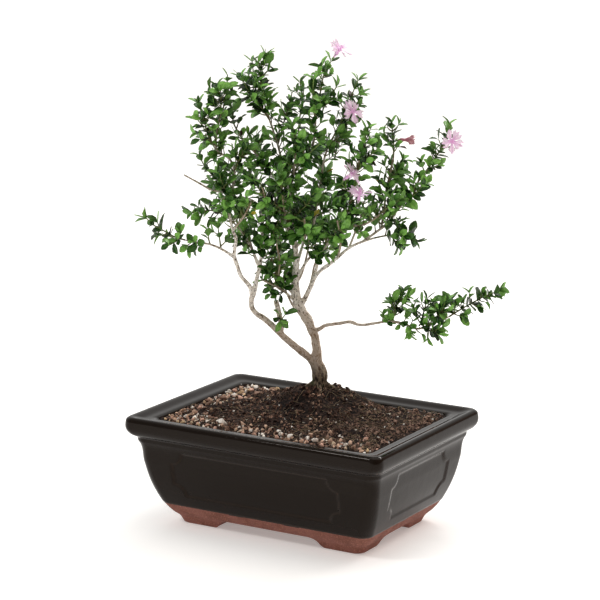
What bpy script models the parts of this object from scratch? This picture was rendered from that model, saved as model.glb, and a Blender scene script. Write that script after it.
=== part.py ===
"""A serissa grown as a small flowering tree, in its glazed clay pot.

The origin is first the middle of the pot's length and depth, level with the soles of its feet,
with X along the pot and +Z up. The last step moves the whole tree so that the origin is under
the middle of its outline. The front left of the tree is seen best from an eye at its front right,
so the wood and the shoots are laid out across, up and away from that eye, in millimetres.
"""
import math
import random

import bmesh
import bpy
import numpy as np
from mathutils import Euler, Matrix, Vector

MM = 0.001
GAP = 0.3 * MM

# The eye that the tree is laid out for
EYE_ROUND = math.radians(30.9)
EYE_ABOVE = math.radians(12.5)
EYE_DISTANCE = 1690 * MM
EYE_TARGET = Vector((-2.3 * MM, 0, 160.3 * MM))

# Pot
POT_LENGTH = 203 * MM
POT_DEPTH = 148 * MM
FLOOR_TOP = 15 * MM
FLANGE_INSET = 15.6 * MM
APRON_HEIGHT = 7.5 * MM
FOOT_LENGTH = 35 * MM
FOOT_DEPTH = 28 * MM
SOLE_INSET = 29 * MM
WINDOW_RELIEF = 0.9 * MM
DRAIN_DIAMETER = 14 * MM
DRAIN_SPACING = 60 * MM

# Height, inset from the rim's crest and corner radius, in millimetres, from the sole upwards
POT_OUTSIDE = [
    (0, 29, 6), (6.4, 25.6, 7), (7.6, 24.2, 7), (12, 20.4, 8), (15.6, 18.3, 8), (21.7, 15.8, 8.5),
    (31.2, 12.6, 9), (46.2, 9.3, 9), (60.6, 6.9, 9), (62, 6.2, 9), (64.9, 5.6, 9), (66.9, 1.6, 8),
    (69.8, -0.5, 7.5), (75.3, -0.9, 7), (78.2, -0.2, 7), (79.4, 1.6, 6),
]
# The same, down the inside
POT_INSIDE = [
    (79.1, 3.4, 5.5), (77.5, 8.5, 5), (76.2, 15.6, 5), (70, 16.2, 5), (46, 17.6, 5), (31, 20.6, 5),
    (20, 24.2, 5), (15, 28, 4),
]

# Soil
SOIL_EDGE = 75.6 * MM
SOIL_SIDE = [
    (15.3, 28.6, 4), (20, 24.8, 4.5), (31, 21.2, 4.5), (46, 18.2, 4.5), (70, 16.8, 4.5), (75.6, 16.3, 4.5),
]
SOIL_FADE = 16 * MM
MOUND_PLACE = Vector((-4 * MM, 30 * MM))
MOUND_HEIGHT = 16.4 * MM
MOUND_SPREAD = 23 * MM
STEM_HOLE_DIAMETER = 12.8 * MM
STEM_HOLE_FLOOR = 62 * MM
CHIP_COUNT = 36
CHIP_SIZE = (3.2 * MM, 6 * MM)

# Drain screens
SCREEN_SIDE = 22 * MM
SCREEN_THICKNESS = 0.9 * MM
SCREEN_MESH = 7 * MM

# Leaves
LEAF_THICKNESS = 0.65 * MM
LEAF_LENGTH = (6.6 * MM, 9.4 * MM)
LEAF_BREADTH = 0.56
PAIR_SPACING = 11.8 * MM
SHOOT_THICKNESS = (1.4, 1.0)

# Blooms
PETAL_THICKNESS = 0.7 * MM
PETAL_COUNT = 5
PETAL_OUTLINE = [(0, -0.1), (0.68, -0.4), (0.8, -0.16), (1, 0), (0.8, 0.16), (0.68, 0.4), (0, 0.1)]
BLOOM_SPREAD = 8.2 * MM
BLOOM_OPENING = math.radians(14)
BUD_SPREAD = 5.4 * MM
BUD_OPENING = math.radians(62)

# Wood, as across, up, away and thickness in millimetres
WOOD = {
    "trunk": [
        (13.9, -58.5, 26.6, 11.0), (13.4, -49.2, 26.4, 10.2), (11, -42.8, 26, 9.0), (11.8, -36, 25.6, 6.5),
        (11, -29.7, 25.2, 5.8), (10, -24.3, 25, 6.0), (8.1, -20.9, 24.6, 6.3), (6.1, -15, 24, 6.5),
        (2.2, -9.2, 23.5, 6.8), (-0.3, -4.7, 23, 7.3), (-2.7, 2.1, 22.5, 6.4), (-3.1, 11.9, 22, 5.2),
        (-2.8, 25.2, 20.5, 4.6), (-4, 40.7, 18, 4.0), (-6.8, 54, 16, 3.5), (-8.9, 65.2, 14.5, 3.2),
        (-8.4, 76.6, 13.5, 2.8), (-8.6, 86, 13, 2.4), (-6, 100, 12, 2.0), (-1.4, 113, 11, 1.6),
    ],
    "left_limb": [
        (12.6, -47, 26.2, 5.8), (6.1, -40, 24, 5.4), (1.3, -36, 22, 5.1), (-3.7, -32.1, 20, 4.8),
        (-11.5, -25.3, 16, 4.5), (-20.7, -16.5, 11, 4.1), (-25.6, -12.5, 8.5, 3.9), (-30.6, -9.2, 6, 3.7),
        (-33.5, -5.2, 4.5, 3.5), (-34, -0.3, 3.5, 3.6), (-32.5, 4.5, 3, 3.8), (-31.1, 9.7, 3, 3.0),
        (-29.8, 16.4, 3, 2.8), (-28.1, 23, 3.5, 2.6), (-26.5, 36, 4, 2.4), (-26.5, 50, 3, 2.2),
        (-27.6, 64.1, 1, 2.1), (-30.3, 67.2, 0, 2.0), (-36.9, 70.7, -2, 1.9), (-44.9, 71.6, -5, 1.8),
        (-52.5, 74.7, -8, 1.6), (-62.2, 76.9, -11, 1.5), (-69.4, 80.9, -13, 1.4), (-80.9, 87.2, -15, 1.2),
    ],
    "outer_limb": [
        (-33.4, 1, 3.2, 3.4), (-34.5, 8.5, 1.5, 2.9), (-41.4, 17.2, -1.5, 2.7), (-43.6, 23.9, -3, 2.6),
        (-45.8, 30.6, -4.5, 2.5), (-45.4, 36.3, -6, 2.4), (-44.6, 43, -8, 2.2), (-46.7, 48.3, -10, 2.1),
        (-49, 60, -14, 1.9), (-48, 74, -17, 1.8), (-45.5, 88, -17, 1.7), (-48, 97, -16, 1.6),
        (-58.7, 105.3, -14, 1.5), (-57.8, 116.6, -14, 1.4), (-56.5, 124.2, -14, 1.3),
        (-55.1, 131, -14, 1.2),
    ],
    "low_left_arm": [
        (-45.4, 29.5, -4.4, 2.2), (-54.7, 35.5, -8, 1.8), (-62.2, 38.6, -11, 1.6), (-73.3, 40.4, -14, 1.4),
        (-80, 41.8, -15.5, 1.3),
    ],
    "stub": [
        (-13.5, -24, 16.5, 3.9), (-13.2, -18, 15.5, 3.8),
        (-14.4, -10.2, 14.5, 3.7), (-16.9, -0.3, 13, 3.4),
    ],
    "right_low_arm": [
        (8.1, -21, 24.6, 3.2), (13.4, -20.4, 23, 2.9), (16.9, -18, 21.5, 2.7), (21.7, -17, 20, 2.6),
        (27.9, -16.2, 18, 2.5), (35.4, -15.3, 15.5, 2.3), (40.1, -17.1, 14, 2.2), (52.2, -16.2, 10.5, 2.0),
        (62, -14.8, 8, 1.8), (72, -16.5, 6, 1.7), (82.1, -20, 4, 1.6), (93.2, -16.2, 2, 1.4),
        (104, -11.5, 1, 1.2),
    ],
    "right_limb": [
        (-0.3, -5.5, 23, 4.2), (4.4, 3, 21, 3.4), (8, 10.5, 18.5, 3.0), (10.7, 16.4, 16.5, 2.8),
        (13.8, 20.1, 15, 2.6), (20.4, 24.9, 12, 2.5), (26, 29.5, 9.5, 2.3), (34.1, 36.2, 6, 2.1),
        (39.5, 39.1, 4, 1.9), (51.9, 43.2, 0, 1.3),
    ],
    "right_leader": [
        (4.6, 3.6, 20.9, 2.8), (7.9, 11.9, 22, 2.4), (12, 25.2, 22, 2.2), (10.4, 39.4, 21, 2.0),
        (9.3, 47.4, 20, 1.9), (11, 62, 18, 1.8), (14, 80, 15, 1.7), (18.8, 104.4, 12, 1.5),
        (21.5, 110.5, 11.5, 1.3),
    ],
    "pale_branch": [
        (-3, 14, 22, 2.6), (0.5, 20, 19, 2.2), (4.9, 27.4, 15, 1.9), (9.3, 31.9, 11, 1.8),
        (15.9, 35, 6, 1.7),
        (21.3, 42.1, 1, 1.7), (31.5, 51.2, -5, 1.6), (43.1, 52, -10, 1.4),
        (51.9, 56.5, -13, 1.3), (56, 60, -14.5, 1.2),
    ],
    "long_shoot_wood": [
        (43.5, 40.6, 2.6, 1.7), (54, 48, 1, 1.6), (62.7, 55.1, 0, 1.5), (67, 61.5, 0, 1.4),
        (72.9, 69.2, 0, 1.3),
        (80.4, 79.9, 1, 1.2), (86, 87.2, 2, 1.2),
    ],
    "centre_left_leader": [
        (-8.5, 79, 13.4, 2.2), (-11.5, 92, 14, 1.8), (-15.5, 108, 13, 1.6),
        (-20, 122, 11, 1.4), (-23.5, 131, 10, 1.3),
    ],
    "pale_inner_branch": [
        (-8.7, 69, 14.2, 2.2), (-15, 81, 9, 1.8), (-22.7, 91.6, 5, 1.6), (-30.3, 101.4, 2, 1.5),
        (-39.1, 110.2, 0, 1.3), (-43, 116.5, 0, 1.2),
    ],
    "grey_twig": [
        (-28.3, 22, 3.4, 2.2), (-31.5, 31, 5.5, 1.9), (-35.6, 39.4, 7, 1.7), (-39.1, 45.3, 8, 1.6),
        (-44.6, 52.2, 8, 1.4), (-49, 56.5, 8, 1.3),
    ],
    "top_twig": [
        (-8.6, 82, 13.3, 2.0), (-2, 92, 8, 1.7), (4.5, 100, 5, 1.6), (9.1, 107.9, 3, 1.5),
        (10.3, 118, 2, 1.3),
        (11.6, 131, 0.5, 1.2),
    ],
    "right_riser": [
        (30.6, 50.5, -4.5, 1.8), (33.5, 62, -6, 1.5), (36.5, 76, -7, 1.4),
        (39.5, 90, -6, 1.3), (42, 100, -5, 1.2),
    ],
    "far_right_riser": [
        (56.5, 50, 0.8, 1.6), (58.5, 62, 6, 1.4), (60, 76, 9, 1.4), (63.2, 90, 10, 1.3), (65, 99, 10, 1.2),
    ],
    "front_twig": [
        (-3.2, 31, 19.6, 2.2), (-6, 42, 8, 1.8), (-9, 52, -4, 1.6), (-11, 62, -14, 1.4),
        (-12, 70, -22, 1.3),
    ],
    "upper_front_twig": [
        (-8.8, 67, 14.4, 2.0), (-6, 80, 4, 1.6), (-4, 92, -5, 1.4), (-3, 101, -12, 1.3),
    ],
    "back_twig": [
        (-3, 20, 21, 2.6), (0, 32, 32, 2.1), (4, 45, 42, 1.8), (8, 58, 49, 1.5), (11, 70, 53, 1.3),
    ],
    "left_back_twig": [
        (-4.3, 43, 17.8, 2.4), (-10, 55, 27, 1.9), (-17, 68, 36, 1.7), (-23, 82, 42, 1.4),
        (-26, 92, 44, 1.3),
    ],
    "right_back_twig": [
        (11.5, 66, 17.4, 1.8), (16, 78, 27, 1.6), (21, 90, 34, 1.4), (24, 98, 37, 1.3),
    ],
}

# Leafy shoots, as across, up and away in millimetres, from the wood to the tip
SHOOTS = {
    "crown_left_a": [
        (-23.5, 131, 10), (-26.5, 146.2, 9), (-27.6, 154.4, 8),
        (-27.2, 162.4, 8), (-24, 171.3, 8),
    ],
    "crown_left_b": [(-22, 127, 10.3), (-28, 137, 16), (-31.3, 149.7, 19), (-33.4, 166.4, 21)],
    "crown_left_c": [(-21.5, 126, 10.5), (-29, 137, 2), (-36.9, 147.3, -3), (-41.1, 156.2, -6)],
    "crown_left_d": [
        (-15.5, 108, 13), (-12.5, 118, 19), (-10.5, 126.7, 21),
        (-6.5, 138.3, 22), (-5.6, 144.8, 22),
    ],
    "left_tip_a": [(-55.1, 131, -14), (-55.3, 140.2, -16), (-57.8, 149, -17)],
    "left_tip_b": [(-56, 127, -14), (-52.5, 137, -9), (-51, 147, -7), (-50.5, 157, -6)],
    "left_tip_c": [
        (-58.2, 107, -14), (-62.2, 110.5, -17), (-64.5, 116.6, -20),
        (-67.1, 126, -22), (-71, 137.2, -23),
    ],
    "left_inner": [(-43, 116.5, 0), (-46.5, 124, 1), (-47.3, 133.7, 2)],
    "left_middle": [(-45, 71.8, -5), (-50.7, 77.4, -2), (-57, 83, 1), (-67.5, 95.1, 4), (-70.3, 101, 5)],
    "left_low": [(-49, 56.5, 8), (-54.3, 59.9, 8), (-60.4, 62.2, 7), (-68, 62, 6), (-75.2, 60.6, 5)],
    "left_arm_tip": [
        (-80, 41.8, -15.5), (-86.4, 43.6, -17), (-94.4, 48, -18.5),
        (-102.4, 52.5, -20), (-107, 57, -20),
    ],
    "left_arm_twig": [(-55, 35.6, -8.1), (-56, 42.7, -5), (-57, 50, -3)],
    "left_front": [(-48, 73, -17), (-53, 79, -24), (-56, 88, -28)],
    "left_high": [(-46, 89, -17), (-42, 98, -22), (-37, 107, -25)],
    "crown_top": [(-1.4, 113, 11), (0, 128.1, 10), (1.9, 139.3, 9), (0, 151.8, 8)],
    "bloom_sprig": [
        (11.6, 131, 0.5), (12.6, 138, 0), (14.8, 147.1, -2),
        (16.6, 157, -3), (21.8, 166.6, -4),
    ],
    "top_right_a": [(11.1, 127.5, 1), (15.7, 135.8, 7), (20.9, 141, 10), (25.4, 148.6, 11)],
    "top_front": [(10.6, 121, 1.7), (10, 132, -7), (9, 145, -12), (9.5, 153.9, -14)],
    "top_right_b": [
        (21.5, 110.5, 11.5), (26, 119, 11), (29.9, 126.7, 10.5),
        (35, 140, 9.5), (40.4, 153.2, 8),
    ],
    "top_right_c": [(20.2, 107.5, 11.8), (29, 117, 19), (36, 128, 24), (42.2, 142.7, 26)],
    "right_high_a": [(42, 100, -5), (44, 107.2, -5), (46.5, 119, -6)],
    "right_high_b": [(39.9, 91.5, -5.9), (46, 98, -11), (53.8, 105.1, -15)],
    "right_high_c": [(65, 99, 10), (65.3, 106, 10), (64.8, 114, 10), (63.7, 123.9, 10)],
    "right_high_d": [(61.2, 82, 9.4), (67, 90, 16), (71.6, 97.7, 20)],
    "right_front_a": [(36, 73.5, -6.9), (32, 77.5, -13), (29, 81, -17)],
    "right_front_b": [(32.5, 58, -5.6), (36, 61, -11), (39.6, 64.8, -15)],
    "long_tip": [
        (86, 87.2, 2), (89.8, 92.3, 2.5), (95.5, 101.2, 3),
        (99.8, 107.5, 3.5), (102.6, 114.5, 4), (104, 122.5, 4),
    ],
    "long_side": [(73.5, 70, 0), (79, 73, -7), (85, 79, -12)],
    "right_low": [(51.9, 43.2, 0), (60, 44.8, -2), (66.6, 45.4, -4), (74.2, 45.4, -6), (80.8, 41.1, -8)],
    "right_middle": [(56, 60, -14.5), (62, 65, -16), (69.6, 69.6, -17)],
    "arm_rise_a": [(64, -14.9, 7.6), (67, -5, 4), (71.7, 6.3, 1)],
    "arm_rise_b": [(83, -19.9, 3.8), (86, -9, 6), (88.6, 1.5, 9)],
    "arm_rise_c": [(94, -15.9, 1.9), (98, -9, -5), (101, -2, -9)],
    "arm_hang": [(86, -19, 3.3), (92, -21.5, -4), (99, -19, -9)],
    "arm_tip": [(104, -11.5, 1), (112, -6.5, 0), (121.2, -1.3, -1), (130.6, 3.5, -2), (138.9, 6.3, -3)],
    "front_a": [(-12, 70, -22), (-13, 79, -27), (-15, 89, -30)],
    "front_b": [(-11, 61.5, -13.5), (-19, 68, -19), (-27, 75, -23), (-32, 83, -25)],
    "front_c": [(-9.4, 53.5, -5.5), (-2, 60, -15), (5, 67, -21), (10, 75, -25)],
    "front_d": [(-3, 101, -12), (-3, 111, -17), (-5, 121, -19)],
    "front_e": [(-3.4, 97, -9), (6, 102, -18), (14, 109, -23)],
    "back_a": [(11, 70, 53), (14, 80, 55), (17, 91, 56)],
    "back_b": [(7.5, 56.5, 48.4), (17, 61, 51), (27, 67, 51), (34, 75, 51)],
    "back_c": [(4.4, 46.2, 42.7), (-2, 54, 52), (-8, 63, 57)],
    "back_d": [(-26, 92, 44), (-29, 102, 45), (-31, 114, 45)],
    "back_e": [(-20.8, 77, 40), (-31, 83, 43), (-41, 91, 43)],
    "back_f": [(24, 98, 37), (26, 108, 38), (27, 119, 38)],
    "belt_left": [(-26.4, 46, 3.3), (-20, 51, -5), (-12, 50, -11)],
    "belt_right": [(10, 44, 20.4), (17, 50, 27), (26, 52, 31)],
    "stub_leaves": [(-14.2, -11, 14.6), (-13.8, -13, 10), (-13.6, -15, 7)],
}

# Blooms: the shoot end or stem that each starts from, the foot of its tube and its open face
BLOOMS = {
    "bloom_top": [(21.8, 166.6, -4), (24.5, 170.5, -5), (28.2, 175.2, -7)],
    "bloom_upper": [(30.6, 128.4, 10.4), (33.4, 129.4, 5), (37.4, 131.6, 0)],
    "bloom_side": [(29, 81, -17), (30.8, 84, -18.5), (36.9, 88.6, -20.5)],
    "bloom_middle": [(39.6, 64.8, -15), (40.6, 68.4, -16.5), (41.8, 75.6, -19)],
    "bloom_right": [(101, 110.5, 3.7), (103, 110.2, 0.5), (106.2, 110.4, -4)],
}
BUDS = {
    "faded_bloom": [(64.9, 110.5, 10), (69, 111.4, 8), (76, 111.6, 5)],
}


def metres(points):
    """Each across, up, away and thickness in millimetres as a place and a radius in metres."""
    away_direction = Vector((-math.sin(EYE_ROUND), math.cos(EYE_ROUND), 0))
    right = Vector((math.cos(EYE_ROUND), math.sin(EYE_ROUND), 0))
    upwards = Vector((0, 0, math.cos(EYE_ABOVE))) + away_direction * math.sin(EYE_ABOVE)
    backwards = Vector((0, 0, math.sin(EYE_ABOVE))) - away_direction * math.cos(EYE_ABOVE)
    eye = EYE_TARGET + EYE_DISTANCE * backwards
    placed = []
    for across, up, away, thickness in points:
        sight = EYE_TARGET + (right * across + upwards * up) * MM - eye
        reach = (away * MM - (eye - EYE_TARGET).dot(away_direction)) / sight.dot(away_direction)
        placed.append((*(eye + sight * reach), thickness / 2 * MM))
    return np.array(placed)


def tapered(points, thickness):
    """The points with a thickness that runs evenly from the first value to the second."""
    thicknesses = np.linspace(*thickness, len(points))
    return [(*point, thick) for point, thick in zip(points, thicknesses)]


def smooth_route(points, step):
    """Places and radii about a step apart along a smooth curve through the given ones."""
    lengths = np.linalg.norm(np.diff(points[:, :3], axis=0), axis=1)
    along = np.concatenate([[0], np.cumsum(lengths)])
    slopes = np.gradient(points, along, axis=0)
    places = np.linspace(0, along[-1], max(3, round(along[-1] / step) + 1))
    span = np.clip(np.searchsorted(along, places, side="right") - 1, 0, len(points) - 2)
    width = lengths[span][:, None]
    t = (places - along[span])[:, None] / width
    return (
        (2 * t**3 - 3 * t**2 + 1) * points[span] + (t**3 - 2 * t**2 + t) * width * slopes[span]
        + (3 * t**2 - 2 * t**3) * points[span + 1] + (t**3 - t**2) * width * slopes[span + 1]
    )


def bare_length(points, tubes, margin):
    """How far outside the nearest of the tubes each point lies, less the margin."""
    starts, ends = tubes[:, 0, :3], tubes[:, 1, :3]
    spans = ends - starts
    offsets = points[:, None, :3] - starts[None]
    share = np.clip((offsets * spans).sum(2) / (spans * spans).sum(1), 0, 1)
    distances = np.linalg.norm(offsets - share[..., None] * spans, axis=2)
    radii = tubes[:, 0, 3] + share * (tubes[:, 1, 3] - tubes[:, 0, 3])
    return (distances - radii).min(axis=1) - margin


def tube_spans(route):
    """The route's stretches, each as its two ends."""
    return np.stack([route[:-1], route[1:]], axis=1)


def across_axes(direction):
    """Two unit directions at right angles to the given one and to each other."""
    direction = Vector(direction).normalized()
    first = direction.orthogonal().normalized()
    return first, direction.cross(first)


def nearest_centre(place, tubes):
    """The point nearest to a place on the tubes' centre lines."""
    starts, spans = tubes[:, 0, :3], tubes[:, 1, :3] - tubes[:, 0, :3]
    share = np.clip(((place - starts) * spans).sum(1) / (spans * spans).sum(1), 0, 1)
    points = starts + share[:, None] * spans
    return points[np.linalg.norm(points - place, axis=1).argmin()]


def clear_start(route, tubes):
    """The route drawn from the nearest tube's middle, from where its flat end lies a gap clear of it."""
    route = route.copy()
    route[0, :3] = nearest_centre(route[0, :3], tubes)
    first, second = across_axes(route[1, :3] - route[0, :3])
    turns = np.linspace(0, 2 * math.pi, 9)[:-1]
    for share in np.linspace(0, 1, 80):
        start = route[0] + (route[1] - route[0]) * share
        rim = [start[:3] + start[3] * (math.cos(turn) * first + math.sin(turn) * second) for turn in turns]
        if bare_length(np.array(rim + [start[:3]]), tubes, GAP).min() >= 0:
            return np.vstack([start, route[1:]])
    raise ValueError("a shoot's first stretch lies along the wood")


def colour(value):
    """A linear colour from sRGB hex digits."""
    channels = [int(value[place:place + 2], 16) / 255 for place in (0, 2, 4)]
    return [c / 12.92 if c <= 0.04045 else ((c + 0.055) / 1.055) ** 2.4 for c in channels] + [1]


def make_material(name, value, roughness):
    """A plain material of one colour."""
    material = bpy.data.materials.new(name)
    material.use_nodes = True
    shader = material.node_tree.nodes["Principled BSDF"]
    shader.inputs["Base Color"].default_value = colour(value)
    shader.inputs["Roughness"].default_value = roughness
    shader.inputs["Metallic"].default_value = 0
    return material


def add_object(name, mesh, collection, material=None):
    """An object for the mesh, in the collection."""
    thing = bpy.data.objects.new(name, mesh)
    collection.objects.link(thing)
    if material:
        mesh.materials.append(material)
    return thing


def evaluated_mesh(thing):
    """The object's mesh as its modifiers leave it."""
    graph = bpy.context.evaluated_depsgraph_get()
    return bpy.data.meshes.new_from_object(thing.evaluated_get(graph))


def remove_object(thing):
    """Take an object out of the file."""
    bpy.data.objects.remove(thing, do_unlink=True)


def boolean(thing, operation, cutter=None, collection=None):
    """Cut or join a mesh with an object or a collection, and apply it."""
    modifier = thing.modifiers.new(operation.title(), "BOOLEAN")
    modifier.operation = operation
    modifier.solver = "EXACT"
    if collection:
        modifier.operand_type = "COLLECTION"
        modifier.collection = collection
    else:
        modifier.object = cutter
    mesh = evaluated_mesh(thing)
    thing.modifiers.clear()
    thing.data = mesh


def ring(height, inset, radius, side_steps=1, corner_steps=3):
    """Points round a rectangle with round corners, inset from the rim's crest, from its right end."""
    half = Vector((POT_LENGTH / 2 - inset * MM, POT_DEPTH / 2 - inset * MM))
    corners = []
    for quarter, (side_x, side_y) in enumerate([(1, 1), (-1, 1), (-1, -1), (1, -1)]):
        centre = Vector((side_x * (half.x - radius * MM), side_y * (half.y - radius * MM), height * MM))
        turns = [math.radians(90 * (quarter + step / corner_steps)) for step in range(corner_steps + 1)]
        arms = [Vector((math.cos(turn), math.sin(turn), 0)) for turn in turns]
        corners.append([centre + radius * MM * arm for arm in arms])
    points = []
    for place, corner in enumerate(corners):
        following = corners[(place + 1) % 4][0]
        points += corner
        points += [corner[-1].lerp(following, step / side_steps) for step in range(1, side_steps)]
    return points


def loft(name, rings, collection, material=None):
    """A closed solid through rings that all have as many points."""
    shape = bmesh.new()
    loops = [[shape.verts.new(point) for point in points] for points in rings]
    for lower, upper in zip(loops, loops[1:]):
        for place in range(len(lower)):
            following = (place + 1) % len(lower)
            shape.faces.new((lower[place], lower[following], upper[following], upper[place]))
    shape.faces.new(reversed(loops[0]))
    shape.faces.new(loops[-1])
    mesh = bpy.data.meshes.new(name)
    shape.to_mesh(mesh)
    shape.free()
    return add_object(name, mesh, collection, material)


def prism(name, outline, thickness, turn, collection):
    """A flat outline given a thickness, as a mesh turned into place."""
    curve = bpy.data.curves.new(name, "CURVE")
    curve.dimensions = "2D"
    curve.fill_mode = "BOTH"
    curve.extrude = thickness / 2
    spline = curve.splines.new("POLY")
    spline.points.add(len(outline) - 1)
    for point, (x, y) in zip(spline.points, outline):
        point.co = (x, y, 0, 1)
    spline.use_cyclic_u = True
    return meshed(name, curve, turn, collection)


def tube(name, route, sides, collection):
    """A round branch along a route, as a mesh with closed ends."""
    curve = bpy.data.curves.new(name, "CURVE")
    curve.dimensions = "3D"
    curve.bevel_depth = MM
    curve.bevel_resolution = (sides - 4) // 2
    curve.use_fill_caps = True
    spline = curve.splines.new("POLY")
    spline.points.add(len(route) - 1)
    for point, (x, y, z, radius) in zip(spline.points, route):
        point.co = (x, y, z, 1)
        point.radius = radius / MM
    return meshed(name, curve, Matrix(), collection)


def meshed(name, curve, turn, collection):
    """A curve made into a mesh object with its caps welded on."""
    guide = add_object(name + "_curve", curve, collection)
    bpy.context.view_layer.update()
    mesh = evaluated_mesh(guide)
    remove_object(guide)
    shape = bmesh.new()
    shape.from_mesh(mesh)
    bmesh.ops.remove_doubles(shape, verts=shape.verts, dist=0.01 * MM)
    bmesh.ops.transform(shape, matrix=turn, verts=shape.verts)
    bmesh.ops.recalc_face_normals(shape, faces=shape.faces)
    shape.to_mesh(mesh)
    shape.free()
    return add_object(name, mesh, collection)


def cylinder(name, diameter, bottom, top, place, sides, collection):
    """An upright cylinder."""
    shape = bmesh.new()
    middle = Matrix.Translation((place[0], place[1], (bottom + top) / 2))
    bmesh.ops.create_cone(
        shape, cap_ends=True, segments=sides, radius1=diameter / 2, radius2=diameter / 2,
        depth=top - bottom, matrix=middle,
    )
    mesh = bpy.data.meshes.new(name)
    shape.to_mesh(mesh)
    shape.free()
    return add_object(name, mesh, collection)


def block(name, size, place, turn, collection):
    """A box of the given size."""
    shape = bmesh.new()
    matrix = Matrix.Translation(place) @ turn @ Matrix.Diagonal((*size, 1))
    bmesh.ops.create_cube(shape, size=1, matrix=matrix)
    mesh = bpy.data.meshes.new(name)
    shape.to_mesh(mesh)
    shape.free()
    return add_object(name, mesh, collection)


def fuse(name, pieces, material, parts, work):
    """Join loose pieces into the one named object."""
    joined = pieces[0]
    work.objects.unlink(joined)
    parts.objects.link(joined)
    if len(pieces) > 1:
        boolean(joined, "UNION", collection=work)
    for piece in pieces[1:]:
        remove_object(piece)
    joined.name = name
    joined.data.materials.clear()
    joined.data.materials.append(material)
    return joined


def window_outline(half_length, bottom, top, notch):
    """A framed panel's outline, each corner bitten away by a quarter round."""
    outline = []
    for quarter, (side, level) in enumerate([(1, top), (-1, top), (-1, bottom), (1, bottom)]):
        for step in range(4):
            turn = math.radians(90 * (quarter + 3) - 30 * step)
            outline.append((side * half_length + notch * math.cos(turn), level + notch * math.sin(turn)))
    return outline


def arch_outline(half_length, drop):
    """The gap between two feet, seen from the side, with a double curve at each foot."""
    rise = APRON_HEIGHT
    right = [
        (half_length + 7 * MM, -drop), (half_length + 7 * MM, 0), (half_length + 4.5 * MM, 0.22 * rise),
        (half_length + 3 * MM, 0.55 * rise), (half_length, 0.8 * rise), (half_length - 4 * MM, rise),
    ]
    return right + [(-x, z) for x, z in reversed(right)]


def build_pot(parts, work):
    """The fired pot: wall, rolled rim, floor with two drains, apron and four feet."""
    clay = make_material("black_glazed_clay", "2a2624", 0.12)
    rings = [ring(*level) for level in POT_OUTSIDE + POT_INSIDE]
    pot = loft("pot", rings, parts, clay)
    core_rings = [ring(height, inset + WINDOW_RELIEF / MM, radius) for height, inset, radius in POT_OUTSIDE]
    upright = Matrix.Rotation(math.radians(90), 4, "X")
    quarter = Matrix.Rotation(math.radians(90), 4, "Z")
    for half_length, turn in ((67 * MM, upright), (41 * MM, quarter @ upright)):
        window = prism("window", window_outline(half_length, 25 * MM, 57 * MM, 6 * MM), 0.3, turn, work)
        core = loft("core", core_rings, work)
        boolean(window, "DIFFERENCE", core)
        boolean(pot, "DIFFERENCE", window)
        remove_object(window)
        remove_object(core)
    sole_length = POT_LENGTH / 2 - SOLE_INSET - FOOT_LENGTH
    sole_depth = POT_DEPTH / 2 - SOLE_INSET - FOOT_DEPTH
    arch = prism("arch", arch_outline(sole_length, 5 * MM), 0.3, upright, work)
    cross_arch = prism("cross_arch", arch_outline(sole_depth, 6 * MM), 0.32, quarter @ upright, work)
    boolean(arch, "UNION", cross_arch)
    boolean(pot, "DIFFERENCE", arch)
    remove_object(arch)
    remove_object(cross_arch)
    for side in (-1, 1):
        drain = cylinder("drain", DRAIN_DIAMETER, 0, 2 * FLOOR_TOP, (side * DRAIN_SPACING / 2, 0), 16, work)
        boolean(pot, "DIFFERENCE", drain)
        remove_object(drain)
    return pot


def soil_height(x, y):
    """The soil's level: flat by the rim, mounded round the stem, with a slight unevenness."""
    half = Vector((POT_LENGTH / 2 - FLANGE_INSET, POT_DEPTH / 2 - FLANGE_INSET))
    edge = min(half.x - abs(x), half.y - abs(y))
    rise = min(1, max(0, edge / SOIL_FADE))
    rise = rise * rise * (3 - 2 * rise)
    distance = math.hypot(x - MOUND_PLACE.x, y - MOUND_PLACE.y)
    mound = MOUND_HEIGHT * math.exp(-0.5 * (distance / MOUND_SPREAD) ** 2)
    ripple = math.sin(x / (9 * MM)) * math.cos(y / (7 * MM)) + math.sin((x + 2 * y) / (13 * MM))
    return SOIL_EDGE + (mound + (0.7 * ripple + 0.6) * MM) * rise


def gravel_share(x, y):
    """How likely a chip lies here: along the left and back left rim, the front and the front right."""
    half = Vector((POT_LENGTH / 2 - FLANGE_INSET, POT_DEPTH / 2 - FLANGE_INSET))
    left = max(0, 1 - (half.x + x) / (42 * MM))
    front = max(0, 1 - (half.y + y) / (34 * MM))
    back_left = max(0, 1 - (half.y - y) / (26 * MM)) * (x < -20 * MM)
    return min(1, left + 0.9 * front + 0.7 * back_left)


def gravel_chips(count, seed):
    """Places, sizes and turns of chips lying in the soil, drawn where gravel is likely."""
    draw = random.Random(seed)
    chips = []
    while len(chips) < count:
        size = draw.uniform(*CHIP_SIZE)
        x = draw.uniform(-1, 1) * (POT_LENGTH / 2 - FLANGE_INSET - size)
        y = draw.uniform(-1, 1) * (POT_DEPTH / 2 - FLANGE_INSET - size)
        turn = [draw.uniform(0, 2 * math.pi) for axis in range(3)]
        apart = all(math.hypot(x - chip[0], y - chip[1]) > 0.8 * (size + chip[2]) for chip in chips)
        if apart and draw.random() < gravel_share(x, y):
            chips.append((x, y, size, turn))
    return chips


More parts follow.
